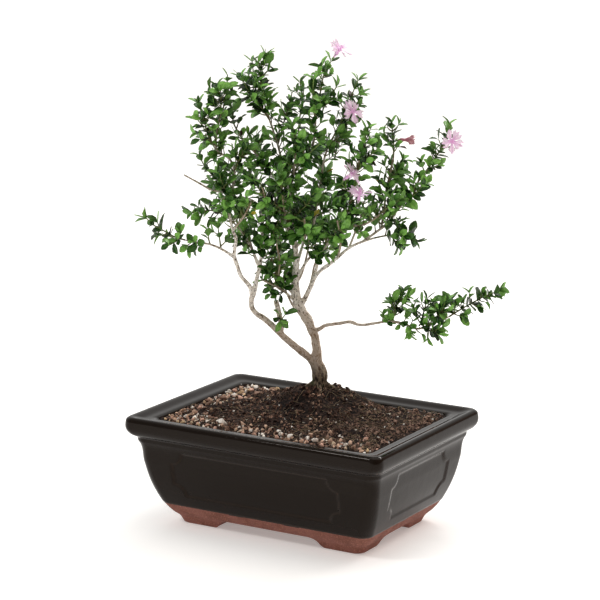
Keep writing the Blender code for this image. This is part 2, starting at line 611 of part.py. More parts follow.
def build_soil(parts, work):
    """The soil mass with its mound, the chips in its surface and the plain hole for the stem."""
    peat = make_material("damp_potting_soil", "2b2320", 0.95)
    rings = [ring(*level, side_steps=5, corner_steps=2) for level in SOIL_SIDE]
    centre = Vector((MOUND_PLACE.x, MOUND_PLACE.y, 0))
    for share in (0.07, 0.2, 0.38, 0.58, 0.76, 0.92):
        inner = [Vector((point.x, point.y, 0)).lerp(centre, share) for point in rings[len(SOIL_SIDE) - 1]]
        rings.append([Vector((point.x, point.y, soil_height(point.x, point.y))) for point in inner])
    soil = loft("soil_mass", rings, work)
    pieces = [soil]
    for x, y, size, turn in gravel_chips(CHIP_COUNT, seed=7):
        turned = Euler(turn).to_matrix().to_4x4()
        place = (x, y, soil_height(x, y) + 0.05 * size)
        pieces.append(block("chip", (0.9 * size, 0.7 * size, 0.55 * size), place, turned, work))
    soil = fuse("soil", pieces, peat, parts, work)
    hole = cylinder("stem_hole", STEM_HOLE_DIAMETER, STEM_HOLE_FLOOR, 0.12, MOUND_PLACE, 20, work)
    boolean(soil, "DIFFERENCE", hole)
    remove_object(hole)
    for side in (-1, 1):
        room = SCREEN_SIDE + 2 * GAP
        height = SCREEN_THICKNESS + 3 * GAP
        place = (side * DRAIN_SPACING / 2, 0, FLOOR_TOP + height / 2)
        recess = block("recess", (room, room, height), place, Matrix(), work)
        boolean(soil, "DIFFERENCE", recess)
        remove_object(recess)
    return soil


def build_screens(parts, work):
    """A square of plastic mesh over each drain, lying on the pot's floor."""
    plastic = make_material("black_drain_plastic", "17181a", 0.5)
    opening = (0.66 * SCREEN_MESH, 0.66 * SCREEN_MESH, 4 * SCREEN_THICKNESS)
    for side, word in ((-1, "left"), (1, "right")):
        middle = FLOOR_TOP + GAP + SCREEN_THICKNESS / 2
        size = (SCREEN_SIDE, SCREEN_SIDE, SCREEN_THICKNESS)
        screen = block("drain_screen_" + word, size, (side * DRAIN_SPACING / 2, 0, middle), Matrix(), parts)
        screen.data.materials.append(plastic)
        steps = (-0.5, 0.5)
        for column in steps:
            for row in steps:
                place = (side * DRAIN_SPACING / 2 + column * SCREEN_MESH, row * SCREEN_MESH, middle)
                hole = block("mesh_hole", opening, place, Matrix(), work)
                boolean(screen, "DIFFERENCE", hole)
                remove_object(hole)


def wood_routes():
    """Every limb's smooth route, the trunk's with its stump down in the soil."""
    routes = {}
    for name, points in WOOD.items():
        step = 9 * MM if name in ("trunk", "left_limb") else 15 * MM
        routes[name] = smooth_route(metres(points), step)
    stump_radius = routes["trunk"][0][3]
    stump = [(MOUND_PLACE.x, MOUND_PLACE.y, level * MM, stump_radius) for level in (63, 78)]
    routes["trunk"] = np.vstack([stump, routes["trunk"]])
    return routes


def build_trunk(routes, parts, work):
    """The trunk and every limb and bare twig of it, grown as one piece."""
    bark = make_material("pale_bark", "9a8f80", 0.8)
    pieces = []
    for name, route in routes.items():
        sides = 10 if name == "trunk" else 8 if name in ("left_limb", "stub") else 6
        pieces.append(tube(name, route, sides, work))
    return fuse("trunk", pieces, bark, parts, work)


def leaf_samples(leaf):
    """Points spread over a leaf, clear of its foot."""
    foot, along, side, length, breadth = leaf
    shares = [(u, v) for u in (0.3, 0.53, 0.76, 0.97) for v in (-0.8, 0, 0.8)]
    return np.array([foot + along * length * u + side * breadth / 2 * v for u, v in shares])


def leaf_at(shoot, place, turn, opening, draw):
    """A leaf growing from a shoot at a place along it, turned round it and opened from it."""
    index = min(int(place), len(shoot) - 2)
    point = shoot[index] + (shoot[index + 1] - shoot[index]) * (place - index)
    onward = Vector(shoot[index + 1, :3] - shoot[index, :3]).normalized()
    first, second = across_axes(onward)
    outward = first * math.cos(turn) + second * math.sin(turn)
    along = (onward * math.cos(opening) + outward * math.sin(opening)).normalized()
    side = along.cross(onward.cross(outward).cross(along)).normalized()
    length = draw.uniform(*LEAF_LENGTH)
    foot = Vector(point[:3]) + 0.15 * MM * outward
    return foot, along, side, length, length * LEAF_BREADTH


def grow_leaves(shoots, solid):
    """Opposite pairs of leaves on every shoot, each pair a quarter turn on, none touching another shoot."""
    tubes = {name: tube_spans(shoot) for name, shoot in shoots.items()}
    taken = np.zeros((0, 3))
    grown = {}
    for order, (name, shoot) in enumerate(shoots.items()):
        draw = random.Random(order)
        others = np.vstack([solid] + [spans for other, spans in tubes.items() if other != name])
        length = np.linalg.norm(np.diff(shoot[:, :3], axis=0), axis=1).sum()
        pairs = max(2, round(0.86 * length / PAIR_SPACING))
        own = np.zeros((0, 3))
        grown[name] = []
        for pair in range(pairs):
            place = (len(shoot) - 1) * (1 - 0.86 * pair / pairs) - 0.06
            for half in (0, 1):
                for attempt in range(8):
                    spread = 0.15 + 0.12 * attempt
                    turn = math.pi / 2 * pair + math.pi * half + draw.uniform(-spread, spread)
                    opening = math.radians(min(38 + 14 * pair, 68)) + draw.uniform(-0.15, 0.15)
                    leaf = leaf_at(shoot, place, turn, opening, draw)
                    points = leaf_samples(leaf)
                    if leaf_fits(points, others, taken, own):
                        grown[name].append(leaf)
                        own = np.vstack([own, points])
                        break
        taken = np.vstack([taken, own])
    return grown


def leaf_fits(points, tubes, others, own):
    """Whether a leaf's points are clear of stems, of other shoots' leaves and of its own shoot's."""
    if bare_length(points, tubes, 1.3 * MM).min() < 0:
        return False
    for placed, apart in ((others, 2.1 * MM), (own, 1.5 * MM)):
        if len(placed) and np.linalg.norm(points[:, None] - placed[None], axis=2).min() < apart:
            return False
    return True


def leaf_mesh():
    """A flat elliptical blade one unit long and broad, pointed at both ends, its foot at the origin."""
    shape = bmesh.new()
    bmesh.ops.create_cone(shape, cap_ends=True, segments=6, radius1=0.5, radius2=0.5, depth=LEAF_THICKNESS)
    for vertex in shape.verts:
        x, y = vertex.co.x + 0.5, vertex.co.y
        vertex.co.x = x - 0.1 * (abs(y) > 0.1) * (1 if x < 0.5 else -0.2)
        vertex.co.y = y * (0.5 / 0.433)
    mesh = bpy.data.meshes.new("leaf_blade")
    shape.to_mesh(mesh)
    shape.free()
    return mesh


def leaf_matrix(leaf):
    """The turn and size that put the leaf blade in its place."""
    foot, along, side, length, breadth = leaf
    face = along.cross(side)
    matrix = Matrix((along * length, side * breadth, face)).transposed().to_4x4()
    matrix.translation = foot
    return matrix


def build_sprays(shoots, leaves, parts, work):
    """Each shoot with its leaves, fused into one spray."""
    green = make_material("serissa_leaf", "2c662c", 0.45)
    blade = leaf_mesh()
    for name, shoot in shoots.items():
        pieces = [tube(name + "_stem", shoot, 4, work)]
        for leaf in leaves[name]:
            mesh = blade.copy()
            mesh.transform(leaf_matrix(leaf))
            pieces.append(add_object("leaf", mesh, work))
        fuse("spray_" + name, pieces, green, parts, work)


def petal_mesh():
    """A flat petal lobe with three teeth, one unit long, its foot at the origin."""
    shape = bmesh.new()
    face = shape.faces.new([shape.verts.new((x, y, -0.5)) for x, y in PETAL_OUTLINE])
    result = bmesh.ops.extrude_face_region(shape, geom=[face])
    raised = [item for item in result["geom"] if isinstance(item, bmesh.types.BMVert)]
    bmesh.ops.translate(shape, vec=(0, 0, 1), verts=raised)
    bmesh.ops.recalc_face_normals(shape, faces=shape.faces)
    mesh = bpy.data.meshes.new("petal_lobe")
    shape.to_mesh(mesh)
    shape.free()
    return mesh


def open_bloom(name, points, spread, opening, stems):
    """A bloom's stalk and tube as a route, and each petal's foot, direction and side, no two alike."""
    draw = random.Random(name)
    stalk, foot, mouth = clear_start(metres([(*point, 1.2) for point in points]), stems)[:, :3]
    throat = foot + 0.94 * (mouth - foot)
    axis = Vector(mouth - foot).normalized()
    waist, neck = foot + 0.2 * (mouth - foot), foot + 0.6 * (mouth - foot)
    radii = [0.6 * MM, 0.8 * MM, 1.3 * MM, 1.0 * MM, 1.9 * MM]
    route = np.column_stack([[stalk, foot, waist, neck, throat], radii])
    first, second = across_axes(axis)
    petals = []
    for place in range(PETAL_COUNT):
        turn = 2 * math.pi * place / PETAL_COUNT + draw.uniform(-0.08, 0.08)
        rise = opening + draw.uniform(-0.12, 0.12)
        outward = first * math.cos(turn) + second * math.sin(turn)
        along = outward * math.cos(rise) + axis * math.sin(rise)
        base = Vector(throat) + outward * 0.9 * MM - axis * 0.5 * MM
        petals.append((base, along, axis.cross(outward), spread))
    return route, petals


def bloom_spans(bloom):
    """The room that a bloom takes, as tubes along its stalk and its petals."""
    route, petals = bloom
    room = [
        [(*base, 0.5 * MM), (*(base + along * spread * 0.8), 0.36 * spread)]
        for base, along, side, spread in petals
    ]
    return np.vstack([tube_spans(route), np.array(room)])


def open_blooms(shoots, wood):
    """Every bloom, the faded one nearly shut, each starting a gap clear of its shoot."""
    stems = np.vstack([wood] + [tube_spans(shoot) for shoot in shoots.values()])
    blooms = {}
    for name, points in BLOOMS.items():
        blooms[name] = open_bloom(name, points, BLOOM_SPREAD, BLOOM_OPENING, stems)
    for name, points in BUDS.items():
        blooms[name] = open_bloom(name, points, BUD_SPREAD, BUD_OPENING, stems)
    return blooms


def build_blooms(blooms, parts, work):
    """A flaring tube with lobed petals round its mouth for each bloom."""
    pink = make_material("pale_lilac_petal", "f0c8ec", 0.5)
    faded = make_material("faded_petal", "a8606e", 0.6)
    lobe = petal_mesh()
    for name, (route, petals) in blooms.items():
        pieces = [tube("bloom_tube", route, 6, work)]
        for base, along, side, spread in petals:
            face = along.cross(side) * PETAL_THICKNESS
            matrix = Matrix((along * spread, side * spread, face)).transposed().to_4x4()
            matrix.translation = base
            mesh = lobe.copy()
            mesh.transform(matrix)
            pieces.append(add_object("petal", mesh, work))
        fuse(name, pieces, faded if name in BUDS else pink, parts, work)


def shade_round(parts):
    """Smooth shading with creases kept sharp."""
    for thing in parts.objects:
        thing.data.shade_smooth()
        thing.data.set_sharp_from_angle(angle=math.radians(35))


def stand_on_origin(parts):
    """Move everything so that the origin is under the middle of the whole outline."""
    corners = np.array([vertex.co for thing in parts.objects for vertex in thing.data.vertices])
    low, high = corners.min(axis=0), corners.max(axis=0)
    shift = Matrix.Translation((-(low[0] + high[0]) / 2, -(low[1] + high[1]) / 2, -low[2]))
    for thing in parts.objects:
        thing.data.transform(shift)


def main():
    """Build the pot, the soil and the tree."""
    for thing in list(bpy.data.objects):
        bpy.data.objects.remove(thing, do_unlink=True)
    parts = bpy.data.collections.new("serissa_bonsai")
    work = bpy.data.collections.new("work")
    for collection in (parts, work):
        bpy.context.scene.collection.children.link(collection)
    build_pot(parts, work)
    build_soil(parts, work)
    build_screens(parts, work)
    routes = wood_routes()
    build_trunk(routes, parts, work)
    wood = np.vstack([tube_spans(route) for route in routes.values()])
    shoots = {}
    for name, points in SHOOTS.items():
        route = smooth_route(metres(tapered(points, SHOOT_THICKNESS)), 11 * MM)
        shoots[name] = clear_start(route, wood)
    blooms = open_blooms(shoots, wood)
    leaves = grow_leaves(shoots, np.vstack([wood] + [bloom_spans(bloom) for bloom in blooms.values()]))
    build_sprays(shoots, leaves, parts, work)
    build_blooms(blooms, parts, work)
    bpy.data.collections.remove(work)
    shade_round(parts)
    stand_on_origin(parts)


main()
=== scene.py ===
"""The looks of a serissa grown as a small flowering tree in a glazed pot.

Everything is laid out from the middle of the pot, level with the soles of its feet, with X along the
pot and +Z up, and is moved to where the frame holds the pot when it is finished. The wood and the
shoots are laid out across, up and away from an eye at the tree's front right, in millimetres.
"""
import itertools
import math
import random

import bmesh
import bpy
import numpy as np
from mathutils import Euler, Matrix, Vector, noise


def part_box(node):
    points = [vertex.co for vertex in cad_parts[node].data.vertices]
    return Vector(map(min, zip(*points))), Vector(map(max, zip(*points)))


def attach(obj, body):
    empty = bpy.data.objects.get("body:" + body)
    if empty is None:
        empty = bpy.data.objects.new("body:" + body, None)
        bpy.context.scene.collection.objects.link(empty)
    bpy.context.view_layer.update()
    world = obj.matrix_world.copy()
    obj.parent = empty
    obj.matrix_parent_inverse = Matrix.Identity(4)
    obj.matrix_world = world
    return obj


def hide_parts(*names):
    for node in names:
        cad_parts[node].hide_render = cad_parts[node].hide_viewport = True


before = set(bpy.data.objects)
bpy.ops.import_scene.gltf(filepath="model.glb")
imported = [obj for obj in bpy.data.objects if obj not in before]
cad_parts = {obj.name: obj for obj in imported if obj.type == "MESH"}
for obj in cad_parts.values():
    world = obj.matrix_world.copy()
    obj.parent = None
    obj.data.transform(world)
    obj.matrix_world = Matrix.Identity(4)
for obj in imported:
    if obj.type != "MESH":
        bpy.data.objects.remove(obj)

bl_info = {
    "name": "Serissa in a Glazed Pot",
    "version": (1, 0, 0),
    "blender": (4, 5, 0),
    "location": "View3D > Sidebar > Serissa",
    "description": "Builds a small flowering serissa tree in its black glazed pot",
    "category": "Add Mesh",
}

MM = 0.001
GAP = 0.3 * MM
BODY = "root"

# The eye that the tree is laid out for, and the photograph's frame
EYE_ROUND = math.radians(30.9)
EYE_ABOVE = math.radians(12.5)
EYE_DISTANCE = 1690 * MM
EYE_TARGET = Vector((-2.3 * MM, 0, 160.3 * MM))
# Directions: over the ground away from the eye, to its right, up in its view and back towards it
AWAY = Vector((-math.sin(EYE_ROUND), math.cos(EYE_ROUND), 0))
RIGHT = Vector((math.cos(EYE_ROUND), math.sin(EYE_ROUND), 0))
UPWARDS = Vector((0, 0, math.cos(EYE_ABOVE))) + AWAY * math.sin(EYE_ABOVE)
BACKWARDS = Vector((0, 0, math.sin(EYE_ABOVE))) - AWAY * math.cos(EYE_ABOVE)
FOCAL_PIXELS = 2427
FRAME_PIXELS = 600
SENSOR_WIDTH = 36

# Pot, from the frame
POT_LOW, POT_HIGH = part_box("pot")
POT_CENTRE = Vector(((POT_LOW.x + POT_HIGH.x) / 2, (POT_LOW.y + POT_HIGH.y) / 2, 0))
RIM_SWELL = 0.9 * MM
POT_LENGTH = round(POT_HIGH.x - POT_LOW.x - 2 * RIM_SWELL, 6)
POT_DEPTH = round(POT_HIGH.y - POT_LOW.y - 2 * RIM_SWELL, 6)
FLANGE_INSET = 15.6 * MM
APRON_HEIGHT = 7.5 * MM
FOOT_LENGTH = 35 * MM
FOOT_DEPTH = 28 * MM
SOLE_INSET = 29 * MM
DRAIN_DIAMETER = 14 * MM
DRAIN_SPACING = 60 * MM
DRAIN_CUT = 30 * MM
PANEL_HALF_LENGTHS = (67 * MM, 41 * MM)
PANEL_HEIGHTS = (25 * MM, 57 * MM)
PANEL_NOTCH = 8.5 * MM
PANEL_BEVEL = 1.8 * MM
# The arch between two feet: millimetres inwards from the foot's end, and the share of its height there
ARCH_STEPS = (-4, -1.5, 0, 1.5, 3, 4.5, 7)
ARCH_LEVELS = (1, 0.96, 0.83, 0.7, 0.5, 0.22, 0)
GLAZE_THICKNESS = 0.35 * MM

# Height, inset from the rim's crest and corner radius, in millimetres, from the sole upwards
POT_OUTSIDE = [
    (0, 28.4, 6), (6.4, 24.8, 7), (7.6, 23.4, 7), (12, 19.6, 8), (15.6, 17.4, 8), (21.7, 14.6, 8.5),
    (31.2, 11.1, 9), (46.2, 7.7, 9), (60.6, 5.4, 9), (62, 4.7, 9), (64.9, 4.2, 9), (66.9, 1.4, 8),
    (69.8, -0.5, 7.5), (75.3, -0.9, 7), (78.2, -0.2, 7), (79.4, 1.6, 6),
]
# Where in that list the glaze starts, and how high that is
GLAZE_ROW = 4
GLAZE_LINE = POT_OUTSIDE[GLAZE_ROW][0] * MM
GLAZE_WAVE = 0.35 * MM
# Heights, insets and radii again, down the inside
POT_INSIDE = [
    (79.1, 3.4, 5.5), (77.5, 8.5, 5), (76.2, 15.6, 5), (70, 16.2, 5), (46, 17.6, 5), (31, 20.6, 5),
    (20, 24.2, 5), (15, 28, 4),
]

# How many steps a ring has along a long side, a short side and round a corner, and how many rings there are
POT_SIDE_STEPS, POT_CORNER_STEPS = (140, 104), 11
UNDERSIDE_RINGS = 26
CLAY_RINGS = 18
SOIL_SIDE_STEPS, SOIL_CORNER_STEPS = (84, 60), 5
SOIL_RINGS = 64
STREWING_SIDE_STEPS, STREWING_CORNER_STEPS = (60, 44), 3
STREWING_RINGS = 40

# Soil
SOIL_HALF = Vector((POT_LENGTH / 2 - FLANGE_INSET, POT_DEPTH / 2 - FLANGE_INSET))
SOIL_EDGE = 75.6 * MM
SOIL_SIDE = [
    (15.3, 28.6, 4), (20, 24.8, 4.5), (31, 21.2, 4.5), (46, 18.2, 4.5), (70, 16.8, 4.5), (75.6, 16.3, 4.5),
]
SOIL_FADE = 16 * MM
MOUND_PLACE = Vector((-4 * MM, 30 * MM))
MOUND_HEIGHT = 16.4 * MM
MOUND_SPREAD = 23 * MM
# The soil's unevenness: height and breadth of its lumps in millimetres, and where in the noise they are
SOIL_LUMPS = ((0.8, 6, 1.5), (0.8, 5, 6.5), (0.6, 2.6, 4.5), (0.35, 1.3, 8.5))
GRAVEL_PATCH = 17 * MM
DARK_SPREAD = 26 * MM
# How many shapes each kind of stone has, and the furthest that one is turned, in radians
STONE_SHAPES = 6
FULL_TURN = 6.3
FIBRE_STEP = 1.5 * MM
CHIP_COUNT = 36
CHIP_SIZE = (3.2 * MM, 6 * MM)
EXTRA_CHIPS = 84
CHIP_FULLNESS = 1.25
CHIP_SPREAD = (1, 1.8)
# The stones that stand out in the photograph: place and length in millimetres, and hue, the whitest near 1
PALE_STONES = [
    (-62.3, -42.2, 7.6, 0.95), (-40.4, -44.8, 8.2, 0.96), (1.6, -54.5, 5, 0.94), (7.2, -44, 4.6, 0.93),
    (-20.2, -35.7, 4.6, 0.7), (-5.1, 13, 3.2, 0.95), (12.9, -10.5, 3.4, 0.94), (-83.3, 31.3, 4, 0.93),
    (-75.4, -50.1, 4.6, 0.7), (78.1, -54.5, 4.2, 0.7),
]

# Wood
# The stump down in the soil: its levels in millimetres, and its radius
STUMP_LEVELS = (63, 78)
STUMP_RADIUS = 5.5 * MM
# Each surface root's heading in degrees, and its reach and thickness in millimetres
SURFACE_ROOTS = ((20, 13, 4.6), (110, 11, 4), (205, 12, 4.4), (290, 14, 4.8))
# How far over the soil a root's middle line is, in millimetres, at shares of its reach
ROOT_RISES = ((0, 3.4), (0.3, 0.8), (0.65, -1.2), (1, -3.4))
ROOT_STEP = 2 * MM
WOOD_FULLNESS = 1.03
KNOT_SWELL = 0.24
KNOT_SPACING = 7 * MM
# The bark's noise: how slowly it changes along a limb, and how far apart in it two limbs are, in millimetres
BARK_STRETCH = 0.35
LIMB_APART = 37
# How many points are worked on at once
BLOCK_SIZE = 20000
STOUT_SIDES = 14
SLENDER_SIDES = 9

# Leaves
LEAF_BREADTH = 0.56
LEAF_LENGTH = (6.6 * MM, 9.4 * MM)
PAIR_SPACING = 11.8 * MM
SHOOT_THICKNESS = (1.4, 1.0)
# Each leaf shape's fold, curl and twist
LEAF_FORMS = (
    (0.12, 0.10, 0.05), (0.22, 0.22, -0.12), (0.05, 0.02, 0.10), (0.18, 0.32, 0.02), (0.28, 0.14, 0.16),
)
LEAF_FULLNESS = 1.12
LEAF_ROOM = 0.9 * MM
STEM_ROOM = 0.4 * MM
LEAF_TRIES = 4
# The least and greatest size of a paired leaf and of a young one, as shares of its shoot's leaf size
PAIR_SIZES = (0.85, 1.2)
YOUNG_SIZES = (0.5, 0.85)
USUAL_LEAF_SIZE = 0.95
LEAF_SIZES = {
    "left_arm_tip": 1.3, "stub_leaves": 1.15, "right_low": 1.2, "arm_tip": 1.15, "left_arm_twig": 1.1,
}
# How young a leaf looks at its shoot's tip and at each node below it, and how far that varies
# The darker hue of the lower nodes is partly age and partly painted shade inside the crown.
NODE_HUES = (0.9, 0.54, 0.3, 0.14)
HUE_SPREAD = 0.42
# Shoots and limbs that the photograph shows thinly leaved
AIRY_SHOOTS = {
    "crown_top", "top_front", "crown_left_d", "front_d", "front_e", "top_right_a", "bloom_sprig",
    "top_right_b", "left_arm_tip", "left_arm_twig", "low_left_arm",
}
AIRY_SPACING = 1.7
SPUR_LENGTH = (4 * MM, 12 * MM)
SPUR_NODE_SPACING = 4 * MM
SPUR_RADII = (0.5 * MM, 0.42 * MM, 0.32 * MM)
# The share of a shoot, of a limb and of any stem, from its foot or its tip, that bears side shoots or leaves
SHOOT_SPUR_REACH = 0.76
LIMB_SPUR_REACH = 0.97
LEAFED_SHARE = 0.85
STEM_TAPER = (1.25, 0.75)
# Distances between a route's points, for the solid's tubes and for the finer ones here
SOLID_WOOD_STEP = 15 * MM
SOLID_SHOOT_STEP = 11 * MM
LIMB_STEP = 9 * MM
STEM_STEP = 3 * MM
WOOD_STEP = 2.5 * MM
TWIG_RADIUS = 1.05 * MM

# Finishes
GLAZE_IOR = 1.32
GLAZE_SHINE = 0.28
SOIL_SHINE = 0.15
PLANT_SHINE = 0.3
FISSURE_WIDTH = 1.3 * MM
WARM_SIDE = "bda595"
WET_TONE = "32231f"
DRY_TONE = "a08475"

# Stage, in metres: the floor, then each light's name, place, target, and breadth and height
FLOOR_RADIUS = 14
BACK_STRIP = ("back_strip_light", (0.3, 0.8, 1.1), (0.02, 0, 0.1), (1.1, 0.12))
KEY_LIGHT = ("key_light", (-0.9, -1.3, 1.7), (0, 0, 0.17), (0.45, 0.45))
SKY_SPREAD = math.radians(75)
SKY_TURN = (math.radians(-16), math.radians(8), 0)

# Blooms
# How far the free air in front of a bloom reaches towards the eye, and how far it rises
AIR_REACH = 60 * MM
AIR_RISE = 13 * MM
PETAL_COUNT = 5
BLOOM_SPREAD = 8.2 * MM
BLOOM_OPENING = math.radians(14)
BUD_SPREAD = 5.4 * MM
BUD_OPENING = math.radians(62)

# Wood, as across, up, away and thickness in millimetres
WOOD = {
    "trunk": [
        (13.9, -58.5, 26.6, 11.0), (13.4, -49.2, 26.4, 10.2), (11, -42.8, 26, 9.0), (11.8, -36, 25.6, 6.5),
        (11, -29.7, 25.2, 5.8), (10, -24.3, 25, 6.0), (8.1, -20.9, 24.6, 6.3), (6.1, -15, 24, 6.5),
        (2.2, -9.2, 23.5, 6.8), (-0.3, -4.7, 23, 7.3), (-2.7, 2.1, 22.5, 6.4), (-3.1, 11.9, 22, 5.2),
        (-2.8, 25.2, 20.5, 4.6), (-4, 40.7, 18, 4.0), (-6.8, 54, 16, 3.5), (-8.9, 65.2, 14.5, 3.2),
        (-8.4, 76.6, 13.5, 2.8), (-8.6, 86, 13, 2.4), (-6, 100, 12, 2.0), (-1.4, 113, 11, 1.6),
    ],
    "left_limb": [
        (12.6, -47, 26.2, 5.8), (6.1, -40, 24, 5.4), (1.3, -36, 22, 5.1), (-3.7, -32.1, 20, 4.8),
        (-11.5, -25.3, 16, 4.5), (-20.7, -16.5, 11, 4.1), (-25.6, -12.5, 8.5, 3.9), (-30.6, -9.2, 6, 3.7),
        (-33.5, -5.2, 4.5, 3.5), (-34, -0.3, 3.5, 3.6), (-32.5, 4.5, 3, 3.8), (-31.1, 9.7, 3, 3.0),
        (-29.8, 16.4, 3, 2.8), (-28.1, 23, 3.5, 2.6), (-26.5, 36, 4, 2.4), (-26.5, 50, 3, 2.2),
        (-27.6, 64.1, 1, 2.1), (-30.3, 67.2, 0, 2.0), (-36.9, 70.7, -2, 1.9), (-44.9, 71.6, -5, 1.8),
        (-52.5, 74.7, -8, 1.6), (-62.2, 76.9, -11, 1.5), (-69.4, 80.9, -13, 1.4), (-80.9, 87.2, -15, 1.2),
    ],
    "outer_limb": [
        (-33.4, 1, 3.2, 3.4), (-34.5, 8.5, 1.5, 2.9), (-41.4, 17.2, -1.5, 2.7), (-43.6, 23.9, -3, 2.6),
        (-45.8, 30.6, -4.5, 2.5), (-45.4, 36.3, -6, 2.4), (-44.6, 43, -8, 2.2), (-46.7, 48.3, -10, 2.1),
        (-49, 60, -14, 1.9), (-48, 74, -17, 1.8), (-45.5, 88, -17, 1.7), (-48, 97, -16, 1.6),
        (-58.7, 105.3, -14, 1.5), (-57.8, 116.6, -14, 1.4), (-56.5, 124.2, -14, 1.3),
        (-55.1, 131, -14, 1.2),
    ],
    "low_left_arm": [
        (-45.4, 29.5, -4.4, 2.2), (-54.7, 35.5, -8, 1.8), (-62.2, 38.6, -11, 1.6), (-73.3, 40.4, -14, 1.4),
        (-80, 41.8, -15.5, 1.3),
    ],
    "stub": [
        (-13.5, -24, 16.5, 3.9), (-13.2, -18, 15.5, 3.8),
        (-14.4, -10.2, 14.5, 3.7), (-16.9, -0.3, 13, 3.4),
    ],
    "right_low_arm": [
        (8.1, -21, 24.6, 3.2), (13.4, -20.4, 23, 2.9), (16.9, -18, 21.5, 2.7), (21.7, -17, 20, 2.6),
        (27.9, -16.2, 18, 2.5), (35.4, -15.3, 15.5, 2.3), (40.1, -17.1, 14, 2.2), (52.2, -16.2, 10.5, 2.0),
        (62, -14.8, 8, 1.8), (72, -16.5, 6, 1.7), (82.1, -20, 4, 1.6), (93.2, -16.2, 2, 1.4),
        (104, -11.5, 1, 1.2),
    ],
    "right_limb": [
        (-0.3, -5.5, 23, 4.2), (4.4, 3, 21, 3.4), (8, 10.5, 18.5, 3.0), (10.7, 16.4, 16.5, 2.8),
        (13.8, 20.1, 15, 2.6), (20.4, 24.9, 12, 2.5), (26, 29.5, 9.5, 2.3), (34.1, 36.2, 6, 2.1),
        (39.5, 39.1, 4, 1.9), (51.9, 43.2, 0, 1.3),
    ],
    "right_leader": [
        (4.6, 3.6, 20.9, 2.8), (7.9, 11.9, 22, 2.4), (12, 25.2, 22, 2.2), (10.4, 39.4, 21, 2.0),
        (9.3, 47.4, 20, 1.9), (11, 62, 18, 1.8), (14, 80, 15, 1.7), (18.8, 104.4, 12, 1.5),
        (21.5, 110.5, 11.5, 1.3),
    ],
    "pale_branch": [
        (-3, 14, 22, 2.6), (0.5, 20, 19, 2.2), (4.9, 27.4, 15, 1.9), (9.3, 31.9, 11, 1.8),
        (15.9, 35, 6, 1.7),
        (21.3, 42.1, 1, 1.7), (31.5, 51.2, -5, 1.6), (43.1, 52, -10, 1.4),
        (51.9, 56.5, -13, 1.3), (56, 60, -14.5, 1.2),
    ],
    "long_shoot_wood": [
        (43.5, 40.6, 2.6, 1.7), (54, 48, 1, 1.6), (62.7, 55.1, 0, 1.5), (67, 61.5, 0, 1.4),
        (72.9, 69.2, 0, 1.3),
        (80.4, 79.9, 1, 1.2), (86, 87.2, 2, 1.2),
    ],
    "centre_left_leader": [
        (-8.5, 79, 13.4, 2.2), (-11.5, 92, 14, 1.8), (-15.5, 108, 13, 1.6),
        (-20, 122, 11, 1.4), (-23.5, 131, 10, 1.3),
    ],
    "pale_inner_branch": [
        (-8.7, 69, 14.2, 2.2), (-15, 81, 9, 1.8), (-22.7, 91.6, 5, 1.6), (-30.3, 101.4, 2, 1.5),
        (-39.1, 110.2, 0, 1.3), (-43, 116.5, 0, 1.2),
    ],
    "grey_twig": [
        (-28.3, 22, 3.4, 2.2), (-31.5, 31, 5.5, 1.9), (-35.6, 39.4, 7, 1.7), (-39.1, 45.3, 8, 1.6),
        (-44.6, 52.2, 8, 1.4), (-49, 56.5, 8, 1.3),
    ],
    "top_twig": [
        (-8.6, 82, 13.3, 2.0), (-2, 92, 8, 1.7), (4.5, 100, 5, 1.6), (9.1, 107.9, 3, 1.5),
        (10.3, 118, 2, 1.3),
        (11.6, 131, 0.5, 1.2),
    ],
    "right_riser": [
        (30.6, 50.5, -4.5, 1.8), (33.5, 62, -6, 1.5), (36.5, 76, -7, 1.4),
        (39.5, 90, -6, 1.3), (42, 100, -5, 1.2),
    ],
    "far_right_riser": [
        (56.5, 50, 0.8, 1.6), (58.5, 62, 6, 1.4), (60, 76, 9, 1.4), (63.2, 90, 10, 1.3), (65, 99, 10, 1.2),
    ],
    "front_twig": [
        (-3.2, 31, 19.6, 2.2), (-6, 42, 8, 1.8), (-9, 52, -4, 1.6), (-11, 62, -14, 1.4),
        (-12, 70, -22, 1.3),
    ],
    "upper_front_twig": [
        (-8.8, 67, 14.4, 2.0), (-6, 80, 4, 1.6), (-4, 92, -5, 1.4), (-3, 101, -12, 1.3),
    ],
    "back_twig": [
        (-3, 20, 21, 2.6), (0, 32, 32, 2.1), (4, 45, 42, 1.8), (8, 58, 49, 1.5), (11, 70, 53, 1.3),
    ],
    "left_back_twig": [
        (-4.3, 43, 17.8, 2.4), (-10, 55, 27, 1.9), (-17, 68, 36, 1.7), (-23, 82, 42, 1.4),
        (-26, 92, 44, 1.3),
    ],
    "right_back_twig": [
        (11.5, 66, 17.4, 1.8), (16, 78, 27, 1.6), (21, 90, 34, 1.4), (24, 98, 37, 1.3),
    ],
}

